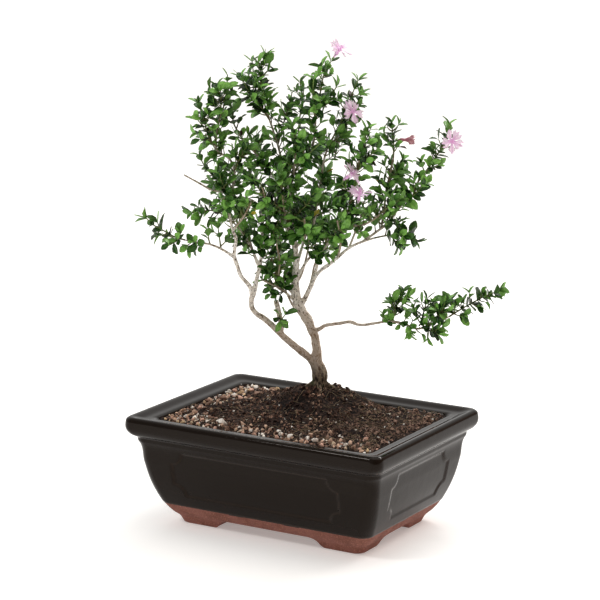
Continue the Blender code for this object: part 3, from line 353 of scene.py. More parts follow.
# Leafy shoots, as across, up and away in millimetres, from the wood to the tip
SHOOTS = {
    "crown_left_a": [
        (-23.5, 131, 10), (-26.5, 146.2, 9), (-27.6, 154.4, 8),
        (-27.2, 162.4, 8), (-24, 171.3, 8),
    ],
    "crown_left_b": [(-22, 127, 10.3), (-28, 137, 16), (-31.3, 149.7, 19), (-33.4, 166.4, 21)],
    "crown_left_c": [(-21.5, 126, 10.5), (-29, 137, 2), (-36.9, 147.3, -3), (-41.1, 156.2, -6)],
    "crown_left_d": [
        (-15.5, 108, 13), (-12.5, 118, 19), (-10.5, 126.7, 21),
        (-6.5, 138.3, 22), (-5.6, 144.8, 22),
    ],
    "left_tip_a": [(-55.1, 131, -14), (-55.3, 140.2, -16), (-57.8, 149, -17)],
    "left_tip_b": [(-56, 127, -14), (-52.5, 137, -9), (-51, 147, -7), (-50.5, 157, -6)],
    "left_tip_c": [
        (-58.2, 107, -14), (-62.2, 110.5, -17), (-64.5, 116.6, -20),
        (-67.1, 126, -22), (-71, 137.2, -23),
    ],
    "left_inner": [(-43, 116.5, 0), (-46.5, 124, 1), (-47.3, 133.7, 2)],
    "left_middle": [(-45, 71.8, -5), (-50.7, 77.4, -2), (-57, 83, 1), (-67.5, 95.1, 4), (-70.3, 101, 5)],
    "left_low": [(-49, 56.5, 8), (-54.3, 59.9, 8), (-60.4, 62.2, 7), (-68, 62, 6), (-75.2, 60.6, 5)],
    "left_arm_tip": [
        (-80, 41.8, -15.5), (-86.4, 43.6, -17), (-94.4, 48, -18.5),
        (-102.4, 52.5, -20), (-107, 57, -20),
    ],
    "left_arm_twig": [(-55, 35.6, -8.1), (-56, 42.7, -5), (-57, 50, -3)],
    "left_front": [(-48, 73, -17), (-53, 79, -24), (-56, 88, -28)],
    "left_high": [(-46, 89, -17), (-42, 98, -22), (-37, 107, -25)],
    "crown_top": [(-1.4, 113, 11), (0, 128.1, 10), (1.9, 139.3, 9), (0, 151.8, 8)],
    "bloom_sprig": [
        (11.6, 131, 0.5), (12.6, 138, 0), (14.8, 147.1, -2),
        (16.6, 157, -3), (21.8, 166.6, -4),
    ],
    "top_right_a": [(11.1, 127.5, 1), (15.7, 135.8, 7), (20.9, 141, 10), (25.4, 148.6, 11)],
    "top_front": [(10.6, 121, 1.7), (10, 132, -7), (9, 145, -12), (9.5, 153.9, -14)],
    "top_right_b": [
        (21.5, 110.5, 11.5), (26, 119, 11), (29.9, 126.7, 10.5),
        (35, 140, 9.5), (40.4, 153.2, 8),
    ],
    "top_right_c": [(20.2, 107.5, 11.8), (29, 117, 19), (36, 128, 24), (42.2, 142.7, 26)],
    "right_high_a": [(42, 100, -5), (44, 107.2, -5), (46.5, 119, -6)],
    "right_high_b": [(39.9, 91.5, -5.9), (46, 98, -11), (53.8, 105.1, -15)],
    "right_high_c": [(65, 99, 10), (65.3, 106, 10), (64.8, 114, 10), (63.7, 123.9, 10)],
    "right_high_d": [(61.2, 82, 9.4), (67, 90, 16), (71.6, 97.7, 20)],
    "right_front_a": [(36, 73.5, -6.9), (32, 77.5, -13), (29, 81, -17)],
    "right_front_b": [(32.5, 58, -5.6), (36, 61, -11), (39.6, 64.8, -15)],
    "long_tip": [
        (86, 87.2, 2), (89.8, 92.3, 2.5), (95.5, 101.2, 3),
        (99.8, 107.5, 3.5), (102.6, 114.5, 4), (104, 122.5, 4),
    ],
    "long_side": [(73.5, 70, 0), (79, 73, -7), (85, 79, -12)],
    "right_low": [(51.9, 43.2, 0), (60, 44.8, -2), (66.6, 45.4, -4), (74.2, 45.4, -6), (80.8, 41.1, -8)],
    "right_middle": [(56, 60, -14.5), (62, 65, -16), (69.6, 69.6, -17)],
    "arm_rise_a": [(64, -14.9, 7.6), (67, -5, 4), (71.7, 6.3, 1)],
    "arm_rise_b": [(83, -19.9, 3.8), (86, -9, 6), (88.6, 1.5, 9)],
    "arm_rise_c": [(94, -15.9, 1.9), (98, -9, -5), (101, -2, -9)],
    "arm_hang": [(86, -19, 3.3), (92, -21.5, -4), (99, -19, -9)],
    "arm_tip": [(104, -11.5, 1), (112, -6.5, 0), (121.2, -1.3, -1), (130.6, 3.5, -2), (138.9, 6.3, -3)],
    "front_a": [(-12, 70, -22), (-13, 79, -27), (-15, 89, -30)],
    "front_b": [(-11, 61.5, -13.5), (-19, 68, -19), (-27, 75, -23), (-32, 83, -25)],
    "front_c": [(-9.4, 53.5, -5.5), (-2, 60, -15), (5, 67, -21), (10, 75, -25)],
    "front_d": [(-3, 101, -12), (-3, 111, -17), (-5, 121, -19)],
    "front_e": [(-3.4, 97, -9), (6, 102, -18), (14, 109, -23)],
    "back_a": [(11, 70, 53), (14, 80, 55), (17, 91, 56)],
    "back_b": [(7.5, 56.5, 48.4), (17, 61, 51), (27, 67, 51), (34, 75, 51)],
    "back_c": [(4.4, 46.2, 42.7), (-2, 54, 52), (-8, 63, 57)],
    "back_d": [(-26, 92, 44), (-29, 102, 45), (-31, 114, 45)],
    "back_e": [(-20.8, 77, 40), (-31, 83, 43), (-41, 91, 43)],
    "back_f": [(24, 98, 37), (26, 108, 38), (27, 119, 38)],
    "belt_left": [(-26.4, 46, 3.3), (-20, 51, -5), (-12, 50, -11)],
    "belt_right": [(10, 44, 20.4), (17, 50, 27), (26, 52, 31)],
    "stub_leaves": [(-14.2, -11, 14.6), (-13.8, -13, 10), (-13.6, -15, 7)],
}

# Blooms: the shoot end or stem that each starts from, the foot of its tube and its open face
BLOOMS = {
    "bloom_top": [(21.8, 166.6, -4), (24.5, 170.5, -5), (28.2, 175.2, -7)],
    "bloom_upper": [(30.6, 128.4, 10.4), (33.4, 129.4, 5), (37.4, 131.6, 0)],
    "bloom_side": [(29, 81, -17), (30.8, 84, -18.5), (36.9, 88.6, -20.5)],
    "bloom_middle": [(39.6, 64.8, -15), (40.6, 68.4, -16.5), (41.8, 75.6, -19)],
    "bloom_right": [(101, 110.5, 3.7), (103, 110.2, 0.5), (106.2, 110.4, -4)],
}
BUDS = {
    "faded_bloom": [(64.9, 110.5, 10), (69, 111.4, 8), (76, 111.6, 5)],
}


# Twigs too fine for the solid, as across, up, away and thickness in millimetres
TWIGS = {
    "low_left_twig": [
        (-2.5, -2, 22.6, 2.2), (-8, 3.5, 18, 1.8), (-14, 8, 13, 1.6), (-22, 12, 7, 1.4), (-27, 14.5, 4, 1.3),
    ],
    "left_fan_twig": [
        (-2.7, 2, 22.5, 1.9), (-9, 9, 20, 1.6), (-15, 16, 17, 1.4), (-19, 24, 14, 1.2), (-20, 34, 12, 1.1),
    ],
    "left_back_twig": [
        (-3, 8, 22, 1.7), (-8, 16, 25, 1.5), (-12, 26, 28, 1.3), (-14, 37, 30, 1.2), (-15, 49, 30, 1.1),
    ],
    "left_front_twig": [
        (-13, 8, 13.5, 1.4), (-15, 17, 8, 1.3), (-14, 27, 3, 1.2), (-16, 37, -2, 1.1), (-17, 47, -5, 1.0),
    ],
    "right_back_twig": [
        (-3, 10, 22, 1.7), (1, 18, 25, 1.5), (4, 28, 29, 1.3), (6, 38, 32, 1.2), (7, 50, 34, 1.1),
    ],
    "right_fan_twig": [
        (4.4, 3, 21, 1.8), (8, 14, 25, 1.5), (10, 24, 28, 1.3), (15, 34, 31, 1.2), (20, 45, 32, 1.1),
    ],
    "stub_twig": [(-3.5, -6, 23, 1.6), (-7, 0, 22, 1.4), (-10, 7, 24, 1.3), (-9, 16, 27, 1.1)],
    "centre_front_twig": [
        (-6.5, 52, 16.3, 1.9), (-14, 58, 0, 1.6), (-20, 64, -14, 1.4), (-24, 70, -26, 1.2),
        (-26, 78, -36, 1.1),
    ],
    "low_front_twig": [(-3.5, 36, 18.6, 1.8), (2, 42, 4, 1.5), (4, 48, -10, 1.3), (3, 56, -24, 1.2)],
    "centre_back_twig": [
        (-5, 46, 17.2, 1.9), (-12, 52, 30, 1.6), (-18, 60, 42, 1.4), (-20, 70, 52, 1.2),
    ],
    "right_front_twig": [(26, 29.5, 9.5, 1.6), (28, 37, -5, 1.4), (28, 45, -17, 1.2), (26, 55, -26, 1.1)],
    "right_low_back_twig": [(34.1, 36.2, 6, 1.6), (38, 46, 21, 1.4), (42, 56, 34, 1.3), (44, 68, 44, 1.1)],
    "left_low_back_twig": [(-28.4, 21, 3.4, 1.7), (-33, 35, 17, 1.4), (-37, 50, 30, 1.2), (-41, 64, 40, 1.1)],
    "left_hem_twig": [(-46.7, 48.3, -10, 1.7), (-43, 53, -19, 1.4), (-38, 60, -26, 1.2), (-34, 68, -31, 1.1)],
    "left_edge_twig": [(-49, 60, -14, 1.6), (-52, 65, -22, 1.3), (-53, 71, -30, 1.1)],
}
# How far across and up, in millimetres, a limb is leafy from, for the crown and for the limbs that differ
CROWN_FROM = (-200, 42)
LEAFY_FROM = {
    "left_limb": (-40, 16), "grey_twig": (-200, 28), "pale_branch": (-200, 26), "low_left_arm": (-200, 36),
    "right_low_arm": (54, -200), "stub": (-200, 400), "low_left_twig": (-200, 2), "left_fan_twig": (-200, 6),
    "left_back_twig": (-200, 14), "left_front_twig": (-200, 12), "right_back_twig": (-200, 28),
    "right_fan_twig": (-200, 28), "stub_twig": (-200, 6), "centre_front_twig": (-200, 57),
    "low_front_twig": (-200, 43), "centre_back_twig": (-200, 51), "right_front_twig": (-200, 38),
    "right_low_back_twig": (-200, 45), "left_low_back_twig": (-200, 38), "left_hem_twig": (-200, 49),
    "left_edge_twig": (-200, 61),
}

# Leaves that have turned, as across, up in millimetres and hue: below 0 is red-brown, above 1 is yellow
TURNED_LEAVES = [
    (-41.8, 114.2, -1), (-16.7, 125.3, -1), (33, 138, -1), (71.6, 106, -1), (-24, 96, -1), (52, 96, -1),
    (19.5, 88, 2), (-31, 60, 2), (58, 79, 2), (8, 60, 2),
]


def metres(points):
    """Each across, up, away and thickness in millimetres as a place and a radius in metres."""
    eye = EYE_TARGET + EYE_DISTANCE * BACKWARDS
    placed = []
    for across, up, away, thickness in points:
        sight = EYE_TARGET + (RIGHT * across + UPWARDS * up) * MM - eye
        reach = (away * MM - (eye - EYE_TARGET).dot(AWAY)) / sight.dot(AWAY)
        placed.append((*(eye + sight * reach), thickness / 2 * MM))
    return np.array(placed)


def tapered(points, thickness):
    """The points with a thickness that runs evenly from the first value to the second."""
    thicknesses = np.linspace(*thickness, len(points))
    return [(*point, thick) for point, thick in zip(points, thicknesses)]


def smooth_route(points, step):
    """Places and radii about a step apart along a smooth curve through the given ones."""
    lengths = np.linalg.norm(np.diff(points[:, :3], axis=0), axis=1)
    along = np.concatenate([[0], np.cumsum(lengths)])
    slopes = np.gradient(points, along, axis=0)
    places = np.linspace(0, along[-1], max(3, round(along[-1] / step) + 1))
    span = np.clip(np.searchsorted(along, places, side="right") - 1, 0, len(points) - 2)
    width = lengths[span][:, None]
    t = (places - along[span])[:, None] / width
    return (
        (2 * t**3 - 3 * t**2 + 1) * points[span] + (t**3 - 2 * t**2 + t) * width * slopes[span]
        + (3 * t**2 - 2 * t**3) * points[span + 1] + (t**3 - t**2) * width * slopes[span + 1]
    )


def bare_length(points, tubes, margin):
    """How far outside the nearest of the tubes each point lies, less the margin."""
    starts, ends = tubes[:, 0, :3], tubes[:, 1, :3]
    spans = ends - starts
    offsets = points[:, None, :3] - starts[None]
    share = np.clip((offsets * spans).sum(2) / (spans * spans).sum(1), 0, 1)
    distances = np.linalg.norm(offsets - share[..., None] * spans, axis=2)
    radii = tubes[:, 0, 3] + share * (tubes[:, 1, 3] - tubes[:, 0, 3])
    return (distances - radii).min(axis=1) - margin


def tube_spans(route):
    """The route's stretches, each as its two ends."""
    return np.stack([route[:-1], route[1:]], axis=1)


def across_axes(direction):
    """Two unit directions at right angles to the given one and to each other."""
    direction = Vector(direction).normalized()
    first = direction.orthogonal().normalized()
    return first, direction.cross(first)


def nearest_centre(place, tubes):
    """The point nearest to a place on the tubes' centre lines."""
    starts, spans = tubes[:, 0, :3], tubes[:, 1, :3] - tubes[:, 0, :3]
    share = np.clip(((place - starts) * spans).sum(1) / (spans * spans).sum(1), 0, 1)
    points = starts + share[:, None] * spans
    return points[np.linalg.norm(points - place, axis=1).argmin()]


def clear_start(route, tubes):
    """The route drawn from the nearest tube's middle, from where its flat end lies a gap clear of it."""
    route = route.copy()
    route[0, :3] = nearest_centre(route[0, :3], tubes)
    first, second = across_axes(route[1, :3] - route[0, :3])
    turns = np.linspace(0, 2 * math.pi, 9)[:-1]
    for share in np.linspace(0, 1, 80):
        start = route[0] + (route[1] - route[0]) * share
        rim = [start[:3] + start[3] * (math.cos(turn) * first + math.sin(turn) * second) for turn in turns]
        if bare_length(np.array(rim + [start[:3]]), tubes, GAP).min() >= 0:
            return np.vstack([start, route[1:]])
    raise ValueError("a shoot's first stretch lies along the wood")


def soil_height(x, y):
    """The soil's level: flat by the rim, mounded round the stem, with a slight unevenness."""
    edge = min(SOIL_HALF.x - abs(x), SOIL_HALF.y - abs(y))
    rise = min(1, max(0, edge / SOIL_FADE))
    rise = rise * rise * (3 - 2 * rise)
    distance = math.hypot(x - MOUND_PLACE.x, y - MOUND_PLACE.y)
    mound = MOUND_HEIGHT * math.exp(-0.5 * (distance / MOUND_SPREAD) ** 2)
    ripple = math.sin(x / (9 * MM)) * math.cos(y / (7 * MM)) + math.sin((x + 2 * y) / (13 * MM))
    return SOIL_EDGE + (mound + (0.7 * ripple + 0.6) * MM) * rise


def gravel_share(x, y):
    """How likely a chip lies here: along the left and back left rim, the front and the front right."""
    left = max(0, 1 - (SOIL_HALF.x + x) / (42 * MM))
    front = max(0, 1 - (SOIL_HALF.y + y) / (34 * MM))
    back_left = max(0, 1 - (SOIL_HALF.y - y) / (26 * MM)) * (x < -20 * MM)
    return min(1, left + 0.9 * front + 0.7 * back_left)


def gravel_chips(count, seed):
    """Places, sizes and turns of chips lying in the soil, drawn where gravel is likely."""
    draw = random.Random(seed)
    chips = []
    while len(chips) < count:
        size = draw.uniform(*CHIP_SIZE)
        x = draw.uniform(-1, 1) * (POT_LENGTH / 2 - FLANGE_INSET - size)
        y = draw.uniform(-1, 1) * (POT_DEPTH / 2 - FLANGE_INSET - size)
        turn = [draw.uniform(0, 2 * math.pi) for axis in range(3)]
        apart = all(math.hypot(x - chip[0], y - chip[1]) > 0.8 * (size + chip[2]) for chip in chips)
        if apart and draw.random() < gravel_share(x, y):
            chips.append((x, y, size, turn))
    return chips


def leaf_samples(leaf):
    """Points spread over a leaf, clear of its foot."""
    foot, along, side, length, breadth = leaf
    shares = [(u, v) for u in (0.3, 0.53, 0.76, 0.97) for v in (-0.8, 0, 0.8)]
    return np.array([foot + along * length * u + side * breadth / 2 * v for u, v in shares])


def leaf_at(shoot, place, turn, opening, draw):
    """A leaf growing from a shoot at a place along it, turned round it and opened from it."""
    index = min(int(place), len(shoot) - 2)
    point = shoot[index] + (shoot[index + 1] - shoot[index]) * (place - index)
    onward = Vector(shoot[index + 1, :3] - shoot[index, :3]).normalized()
    first, second = across_axes(onward)
    outward = first * math.cos(turn) + second * math.sin(turn)
    along = (onward * math.cos(opening) + outward * math.sin(opening)).normalized()
    side = along.cross(onward.cross(outward).cross(along)).normalized()
    length = draw.uniform(*LEAF_LENGTH)
    foot = Vector(point[:3]) + 0.15 * MM * outward
    return foot, along, side, length, length * LEAF_BREADTH


def grow_leaves(shoots, solid):
    """Opposite pairs of leaves on every shoot, each pair a quarter turn on, none touching another shoot."""
    tubes = {name: tube_spans(shoot) for name, shoot in shoots.items()}
    taken = np.zeros((0, 3))
    grown = {}
    for order, (name, shoot) in enumerate(shoots.items()):
        draw = random.Random(order)
        others = np.vstack([solid] + [spans for other, spans in tubes.items() if other != name])
        length = np.linalg.norm(np.diff(shoot[:, :3], axis=0), axis=1).sum()
        pairs = max(2, round(0.86 * length / PAIR_SPACING))
        own = np.zeros((0, 3))
        grown[name] = []
        for pair in range(pairs):
            place = (len(shoot) - 1) * (1 - 0.86 * pair / pairs) - 0.06
            for half in (0, 1):
                for attempt in range(8):
                    spread = 0.15 + 0.12 * attempt
                    turn = math.pi / 2 * pair + math.pi * half + draw.uniform(-spread, spread)
                    opening = math.radians(min(38 + 14 * pair, 68)) + draw.uniform(-0.15, 0.15)
                    leaf = leaf_at(shoot, place, turn, opening, draw)
                    points = leaf_samples(leaf)
                    if leaf_fits(points, others, taken, own):
                        grown[name].append(leaf)
                        own = np.vstack([own, points])
                        break
        taken = np.vstack([taken, own])
    return grown


def leaf_fits(points, tubes, others, own):
    """Whether a leaf's points are clear of stems, of other shoots' leaves and of its own shoot's."""
    if bare_length(points, tubes, 1.3 * MM).min() < 0:
        return False
    for placed, apart in ((others, 2.1 * MM), (own, 1.5 * MM)):
        if len(placed) and np.linalg.norm(points[:, None] - placed[None], axis=2).min() < apart:
            return False
    return True


def open_bloom(name, points, spread, opening, stems):
    """A bloom's stalk and tube as a route, and each petal's foot, direction and side, no two alike."""
    draw = random.Random(name)
    stalk, foot, mouth = clear_start(metres([(*point, 1.2) for point in points]), stems)[:, :3]
    throat = foot + 0.94 * (mouth - foot)
    axis = Vector(mouth - foot).normalized()
    waist, neck = foot + 0.2 * (mouth - foot), foot + 0.6 * (mouth - foot)
    radii = [0.6 * MM, 0.8 * MM, 1.3 * MM, 1.0 * MM, 1.9 * MM]
    route = np.column_stack([[stalk, foot, waist, neck, throat], radii])
    first, second = across_axes(axis)
    petals = []
    for place in range(PETAL_COUNT):
        turn = 2 * math.pi * place / PETAL_COUNT + draw.uniform(-0.08, 0.08)
        rise = opening + draw.uniform(-0.12, 0.12)
        outward = first * math.cos(turn) + second * math.sin(turn)
        along = outward * math.cos(rise) + axis * math.sin(rise)
        base = Vector(throat) + outward * 0.9 * MM - axis * 0.5 * MM
        petals.append((base, along, axis.cross(outward), spread))
    return route, petals


def bloom_spans(bloom):
    """The room that a bloom takes, as tubes along its stalk and its petals."""
    route, petals = bloom
    room = [
        [(*base, 0.5 * MM), (*(base + along * spread * 0.8), 0.36 * spread)]
        for base, along, side, spread in petals
    ]
    return np.vstack([tube_spans(route), np.array(room)])


def open_blooms(shoots, wood):
    """Every bloom, the faded one nearly shut, each starting a gap clear of its shoot."""
    stems = np.vstack([wood] + [tube_spans(shoot) for shoot in shoots.values()])
    blooms = {}
    for name, points in BLOOMS.items():
        blooms[name] = open_bloom(name, points, BLOOM_SPREAD, BLOOM_OPENING, stems)
    for name, points in BUDS.items():
        blooms[name] = open_bloom(name, points, BUD_SPREAD, BUD_OPENING, stems)
    return blooms



def linear(value):
    """Linear red, green and blue from sRGB hex digits."""
    channels = [int(value[place:place + 2], 16) / 255 for place in (0, 2, 4)]
    return tuple(c / 12.92 if c <= 0.04045 else ((c + 0.055) / 1.055) ** 2.4 for c in channels)


def shade(value):
    """A node's colour from sRGB hex digits or from linear red, green and blue."""
    return (*(linear(value) if isinstance(value, str) else value), 1)


def add_node(tree, kind, inputs=(), **settings):
    """A node of the kind with its settings, each input, in order or by place, a value or what feeds it."""
    node = tree.nodes.new(kind)
    for name, value in settings.items():
        setattr(node, name, value)
    for place, value in inputs.items() if isinstance(inputs, dict) else enumerate(inputs):
        if isinstance(value, bpy.types.NodeSocket):
            tree.links.new(value, node.inputs[place])
        else:
            node.inputs[place].default_value = value
    return node


def start_material(name, colour, roughness, ior=1.5):
    """A new material with its tree and its shader."""
    material = bpy.data.materials.new(name)
    material.use_nodes = True
    tree = material.node_tree
    shader = tree.nodes["Principled BSDF"]
    shader.inputs["Base Color"].default_value = shade(colour)
    shader.inputs["Roughness"].default_value = roughness
    shader.inputs["IOR"].default_value = ior
    return material, tree, shader


def speckle(tree, size, detail=4):
    """Noise whose lumps are about the given size, from the piece's own coordinates."""
    place = add_node(tree, "ShaderNodeTexCoord").outputs["Object"]
    values = {"Vector": place, "Scale": 1 / size, "Detail": detail}
    return add_node(tree, "ShaderNodeTexNoise", values).outputs[0]


def tinted(tree, colour, tone, share, low=0, high=1, start=None, end=None):
    """The colour with a tone over it by a share, which may run softly from low to high over a span."""
    if start is not None:
        span = (share, start, end, low, high)
        share = add_node(tree, "ShaderNodeMapRange", span, interpolation_type="SMOOTHSTEP").outputs[0]
    mix = {0: share, 6: colour, 7: shade(tone)}
    return add_node(tree, "ShaderNodeMix", mix, data_type="RGBA").outputs[2]


def coated(material, colour, height=None, depth=0):
    """The material with its shader's colour and, where a height is given, small ups and downs."""
    tree = material.node_tree
    shader = tree.nodes["Principled BSDF"]
    tree.links.new(colour, shader.inputs["Base Color"])
    if height is not None:
        bump = add_node(tree, "ShaderNodeBump", {"Strength": 1, "Distance": depth, "Height": height})
        tree.links.new(bump.outputs[0], shader.inputs["Normal"])
    return material


def add_object(name, data):
    """An object for the mesh, light or camera, in the scene."""
    thing = bpy.data.objects.new(name, data)
    bpy.context.scene.collection.objects.link(thing)
    return thing


def evaluated_mesh(thing):
    """The object's mesh as its modifiers leave it."""
    bpy.context.view_layer.update()
    graph = bpy.context.evaluated_depsgraph_get()
    return bpy.data.meshes.new_from_object(thing.evaluated_get(graph))


def applied(thing, modifier):
    """Give the object the mesh that its modifier makes, and take the modifier away."""
    mesh = evaluated_mesh(thing)
    thing.modifiers.remove(modifier)
    thing.data = mesh
    return thing


def modified(thing, kind, **settings):
    """Give the object the mesh that a modifier of the kind makes."""
    modifier = thing.modifiers.new(kind.title(), kind)
    for name, value in settings.items():
        setattr(modifier, name, value)
    return applied(thing, modifier)


def grown(thing, tree, values):
    """Give the object the mesh that the node tree grows from it."""
    modifier = thing.modifiers.new(tree.name, "NODES")
    modifier.node_group = tree
    for item in tree.interface.items_tree:
        if item.name in values:
            modifier[item.identifier] = values[item.name]
    return applied(thing, modifier)


def sprouted(thing, blades, tree, values):
    """Give the object the mesh that the node tree grows from it, with a copy for each blade."""
    points = add_object(thing.name + "_blades", blade_points(thing.name + "_blades", blades))
    grown(thing, tree, {"Blades": points, **values})
    bpy.data.objects.remove(points, do_unlink=True)
    return thing


def settled(thing, slot, *nodes):
    """Move a finished piece to the frame's place and hide the solid's parts that it stands for."""
    if not len(thing.data.polygons):
        raise RuntimeError(thing.name + " has no faces")
    thing.data.transform(Matrix.Translation(POT_CENTRE))
    thing.data.update()
    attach(thing, BODY)
    if nodes:
        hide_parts(*nodes)
    return thing


def hide_shapes(name, meshes):
    """A collection outside the scene that holds the shapes a node tree copies."""
    shapes = bpy.data.collections.new(name)
    for order, mesh in enumerate(meshes):
        shapes.objects.link(bpy.data.objects.new(f"{name}_{order:02d}", mesh))
    return shapes


def mesh_from(name, vertices, edges=(), faces=(), values=()):
    """A mesh with values held at its points: single numbers, whole numbers or vectors."""
    mesh = bpy.data.meshes.new(name)
    mesh.from_pydata([tuple(vertex) for vertex in vertices], list(edges), list(faces))
    for label, numbers in dict(values).items():
        numbers = np.asarray(numbers)
        whole = np.issubdtype(numbers.dtype, np.integer)
        kind = "FLOAT_VECTOR" if numbers.ndim == 2 else "INT" if whole else "FLOAT"
        held = mesh.attributes.new(label, kind, "POINT")
        held.data.foreach_set("vector" if numbers.ndim == 2 else "value", numbers.ravel())
    mesh.update()
    return mesh


def mesh_of(name, shape):
    """A mesh of a shape whose editing is over."""
    mesh = bpy.data.meshes.new(name)
    shape.to_mesh(mesh)
    shape.free()
    return mesh


def path_mesh(name, routes, hues):
    """Open paths with each point's radius and hue."""
    vertices, edges, start = np.vstack(routes), [], 0
    for route in routes:
        edges += [(start + place, start + place + 1) for place in range(len(route) - 1)]
        start += len(route)
    values = {"thickness": vertices[:, 3], "hue": np.concatenate(hues)}
    return mesh_from(name, vertices[:, :3], edges, values=values)


def blade_points(name, blades):
    """A point for each blade with the turn, size, shape and hue that its copy takes."""
    feet, turns, sizes, kinds, hues = [], [], [], [], []
    for foot, along, side, length, breadth, kind, hue in blades:
        turn = Matrix((along, side, along.cross(side))).transposed()
        feet.append(foot)
        turns.append(tuple(turn.to_euler()))
        sizes.append((length, breadth, length))
        kinds.append(kind)
        hues.append(float(hue))
    values = {"turn": turns, "size": sizes, "kind": kinds, "hue": hues}
    return mesh_from(name, feet, values=values)


def blade_mesh(name, rows, columns, surface, thickness):
    """A thin closed blade round the surface that a function gives for its length and breadth shares."""
    shape = bmesh.new()
    chart = shape.loops.layers.uv.new("blade_map")
    under = shape.loops.layers.float.new("underside")
    for side in (1, -1):
        grid = []
        for row in range(rows + 1):
            u = 0.5 - 0.5 * math.cos(math.pi * row / rows)
            shares = [2 * column / columns - 1 for column in range(columns + 1)]
            swell = [side * thickness / 2 * (1 - v * v) * 4 * u * (1 - u) for v in shares]
            places = [Vector(surface(u, v)) + Vector((0, 0, out)) for v, out in zip(shares, swell)]
            grid.append([shape.verts.new(place) for place in places])
        for row in range(rows):
            for column in range(columns):
                corners = [(row, column), (row + 1, column), (row + 1, column + 1), (row, column + 1)][::side]
                face = shape.faces.new([grid[r][c] for r, c in corners])
                face.smooth = True
                for loop, (r, c) in zip(face.loops, corners):
                    loop[chart].uv = (c / columns, r / rows)
                    loop[under] = float(side < 0)
    bmesh.ops.remove_doubles(shape, verts=shape.verts, dist=1e-4)
    return mesh_of(name, shape)


def new_tree(name, inputs):
    """A geometry tree with a geometry input and the given named ones, and its inner ends."""
    tree = bpy.data.node_groups.new(name, "GeometryNodeTree")
    tree.interface.new_socket("Geometry", in_out="INPUT", socket_type="NodeSocketGeometry")
    for label, kind in inputs.items():
        tree.interface.new_socket(label, in_out="INPUT", socket_type="NodeSocket" + kind)
    tree.interface.new_socket("Geometry", in_out="OUTPUT", socket_type="NodeSocketGeometry")
    return tree, add_node(tree, "NodeGroupInput").outputs, add_node(tree, "NodeGroupOutput").inputs[0]


def finished(tree, geometry, material):
    """The geometry made real and given its material."""
    real = add_node(tree, "GeometryNodeRealizeInstances", {"Geometry": geometry}).outputs[0]
    return add_node(tree, "GeometryNodeSetMaterial", {"Geometry": real, "Material": material}).outputs[0]


def leafy_tree():
    """Round stems along paths, with blades copied onto points."""
    inputs = {
        "Blades": "Object", "Shapes": "Collection", "Stem Sides": "Int",
        "Stem Finish": "Material", "Blade Finish": "Material",
    }
    tree, given, end = new_tree("stems_and_blades", inputs)
    kinds = {"thickness": "FLOAT", "kind": "INT", "turn": "FLOAT_VECTOR", "size": "FLOAT_VECTOR"}
    held = {}
    for name, kind in kinds.items():
        value = add_node(tree, "GeometryNodeInputNamedAttribute", {"Name": name}, data_type=kind)
        held[name] = value.outputs[0]
    paths = add_node(tree, "GeometryNodeMeshToCurve", {"Mesh": given["Geometry"]}).outputs[0]
    rim = add_node(tree, "GeometryNodeCurvePrimitiveCircle", {"Resolution": given["Stem Sides"], "Radius": 1})
    sweep = {
        "Curve": paths, "Profile Curve": rim.outputs[0], "Scale": held["thickness"], "Fill Caps": True,
    }
    stems = add_node(tree, "GeometryNodeCurveToMesh", sweep).outputs[0]
    stems = add_node(tree, "GeometryNodeSetShadeSmooth", {"Geometry": stems}).outputs[0]
    stems = finished(tree, stems, given["Stem Finish"])
    points = add_node(tree, "GeometryNodeObjectInfo", {"Object": given["Blades"]}).outputs["Geometry"]
    shapes = {"Collection": given["Shapes"], "Separate Children": True, "Reset Children": True}
    shapes = add_node(tree, "GeometryNodeCollectionInfo", shapes).outputs[0]
    copies = {
        "Points": points, "Instance": shapes, "Pick Instance": True, "Instance Index": held["kind"],
        "Rotation": held["turn"], "Scale": held["size"],
    }
    blades = add_node(tree, "GeometryNodeInstanceOnPoints", copies).outputs[0]
    blades = finished(tree, blades, given["Blade Finish"])
    whole = add_node(tree, "GeometryNodeJoinGeometry")
    tree.links.new(stems, whole.inputs[0])
    tree.links.new(blades, whole.inputs[0])
    tree.links.new(whole.outputs[0], end)
    return tree


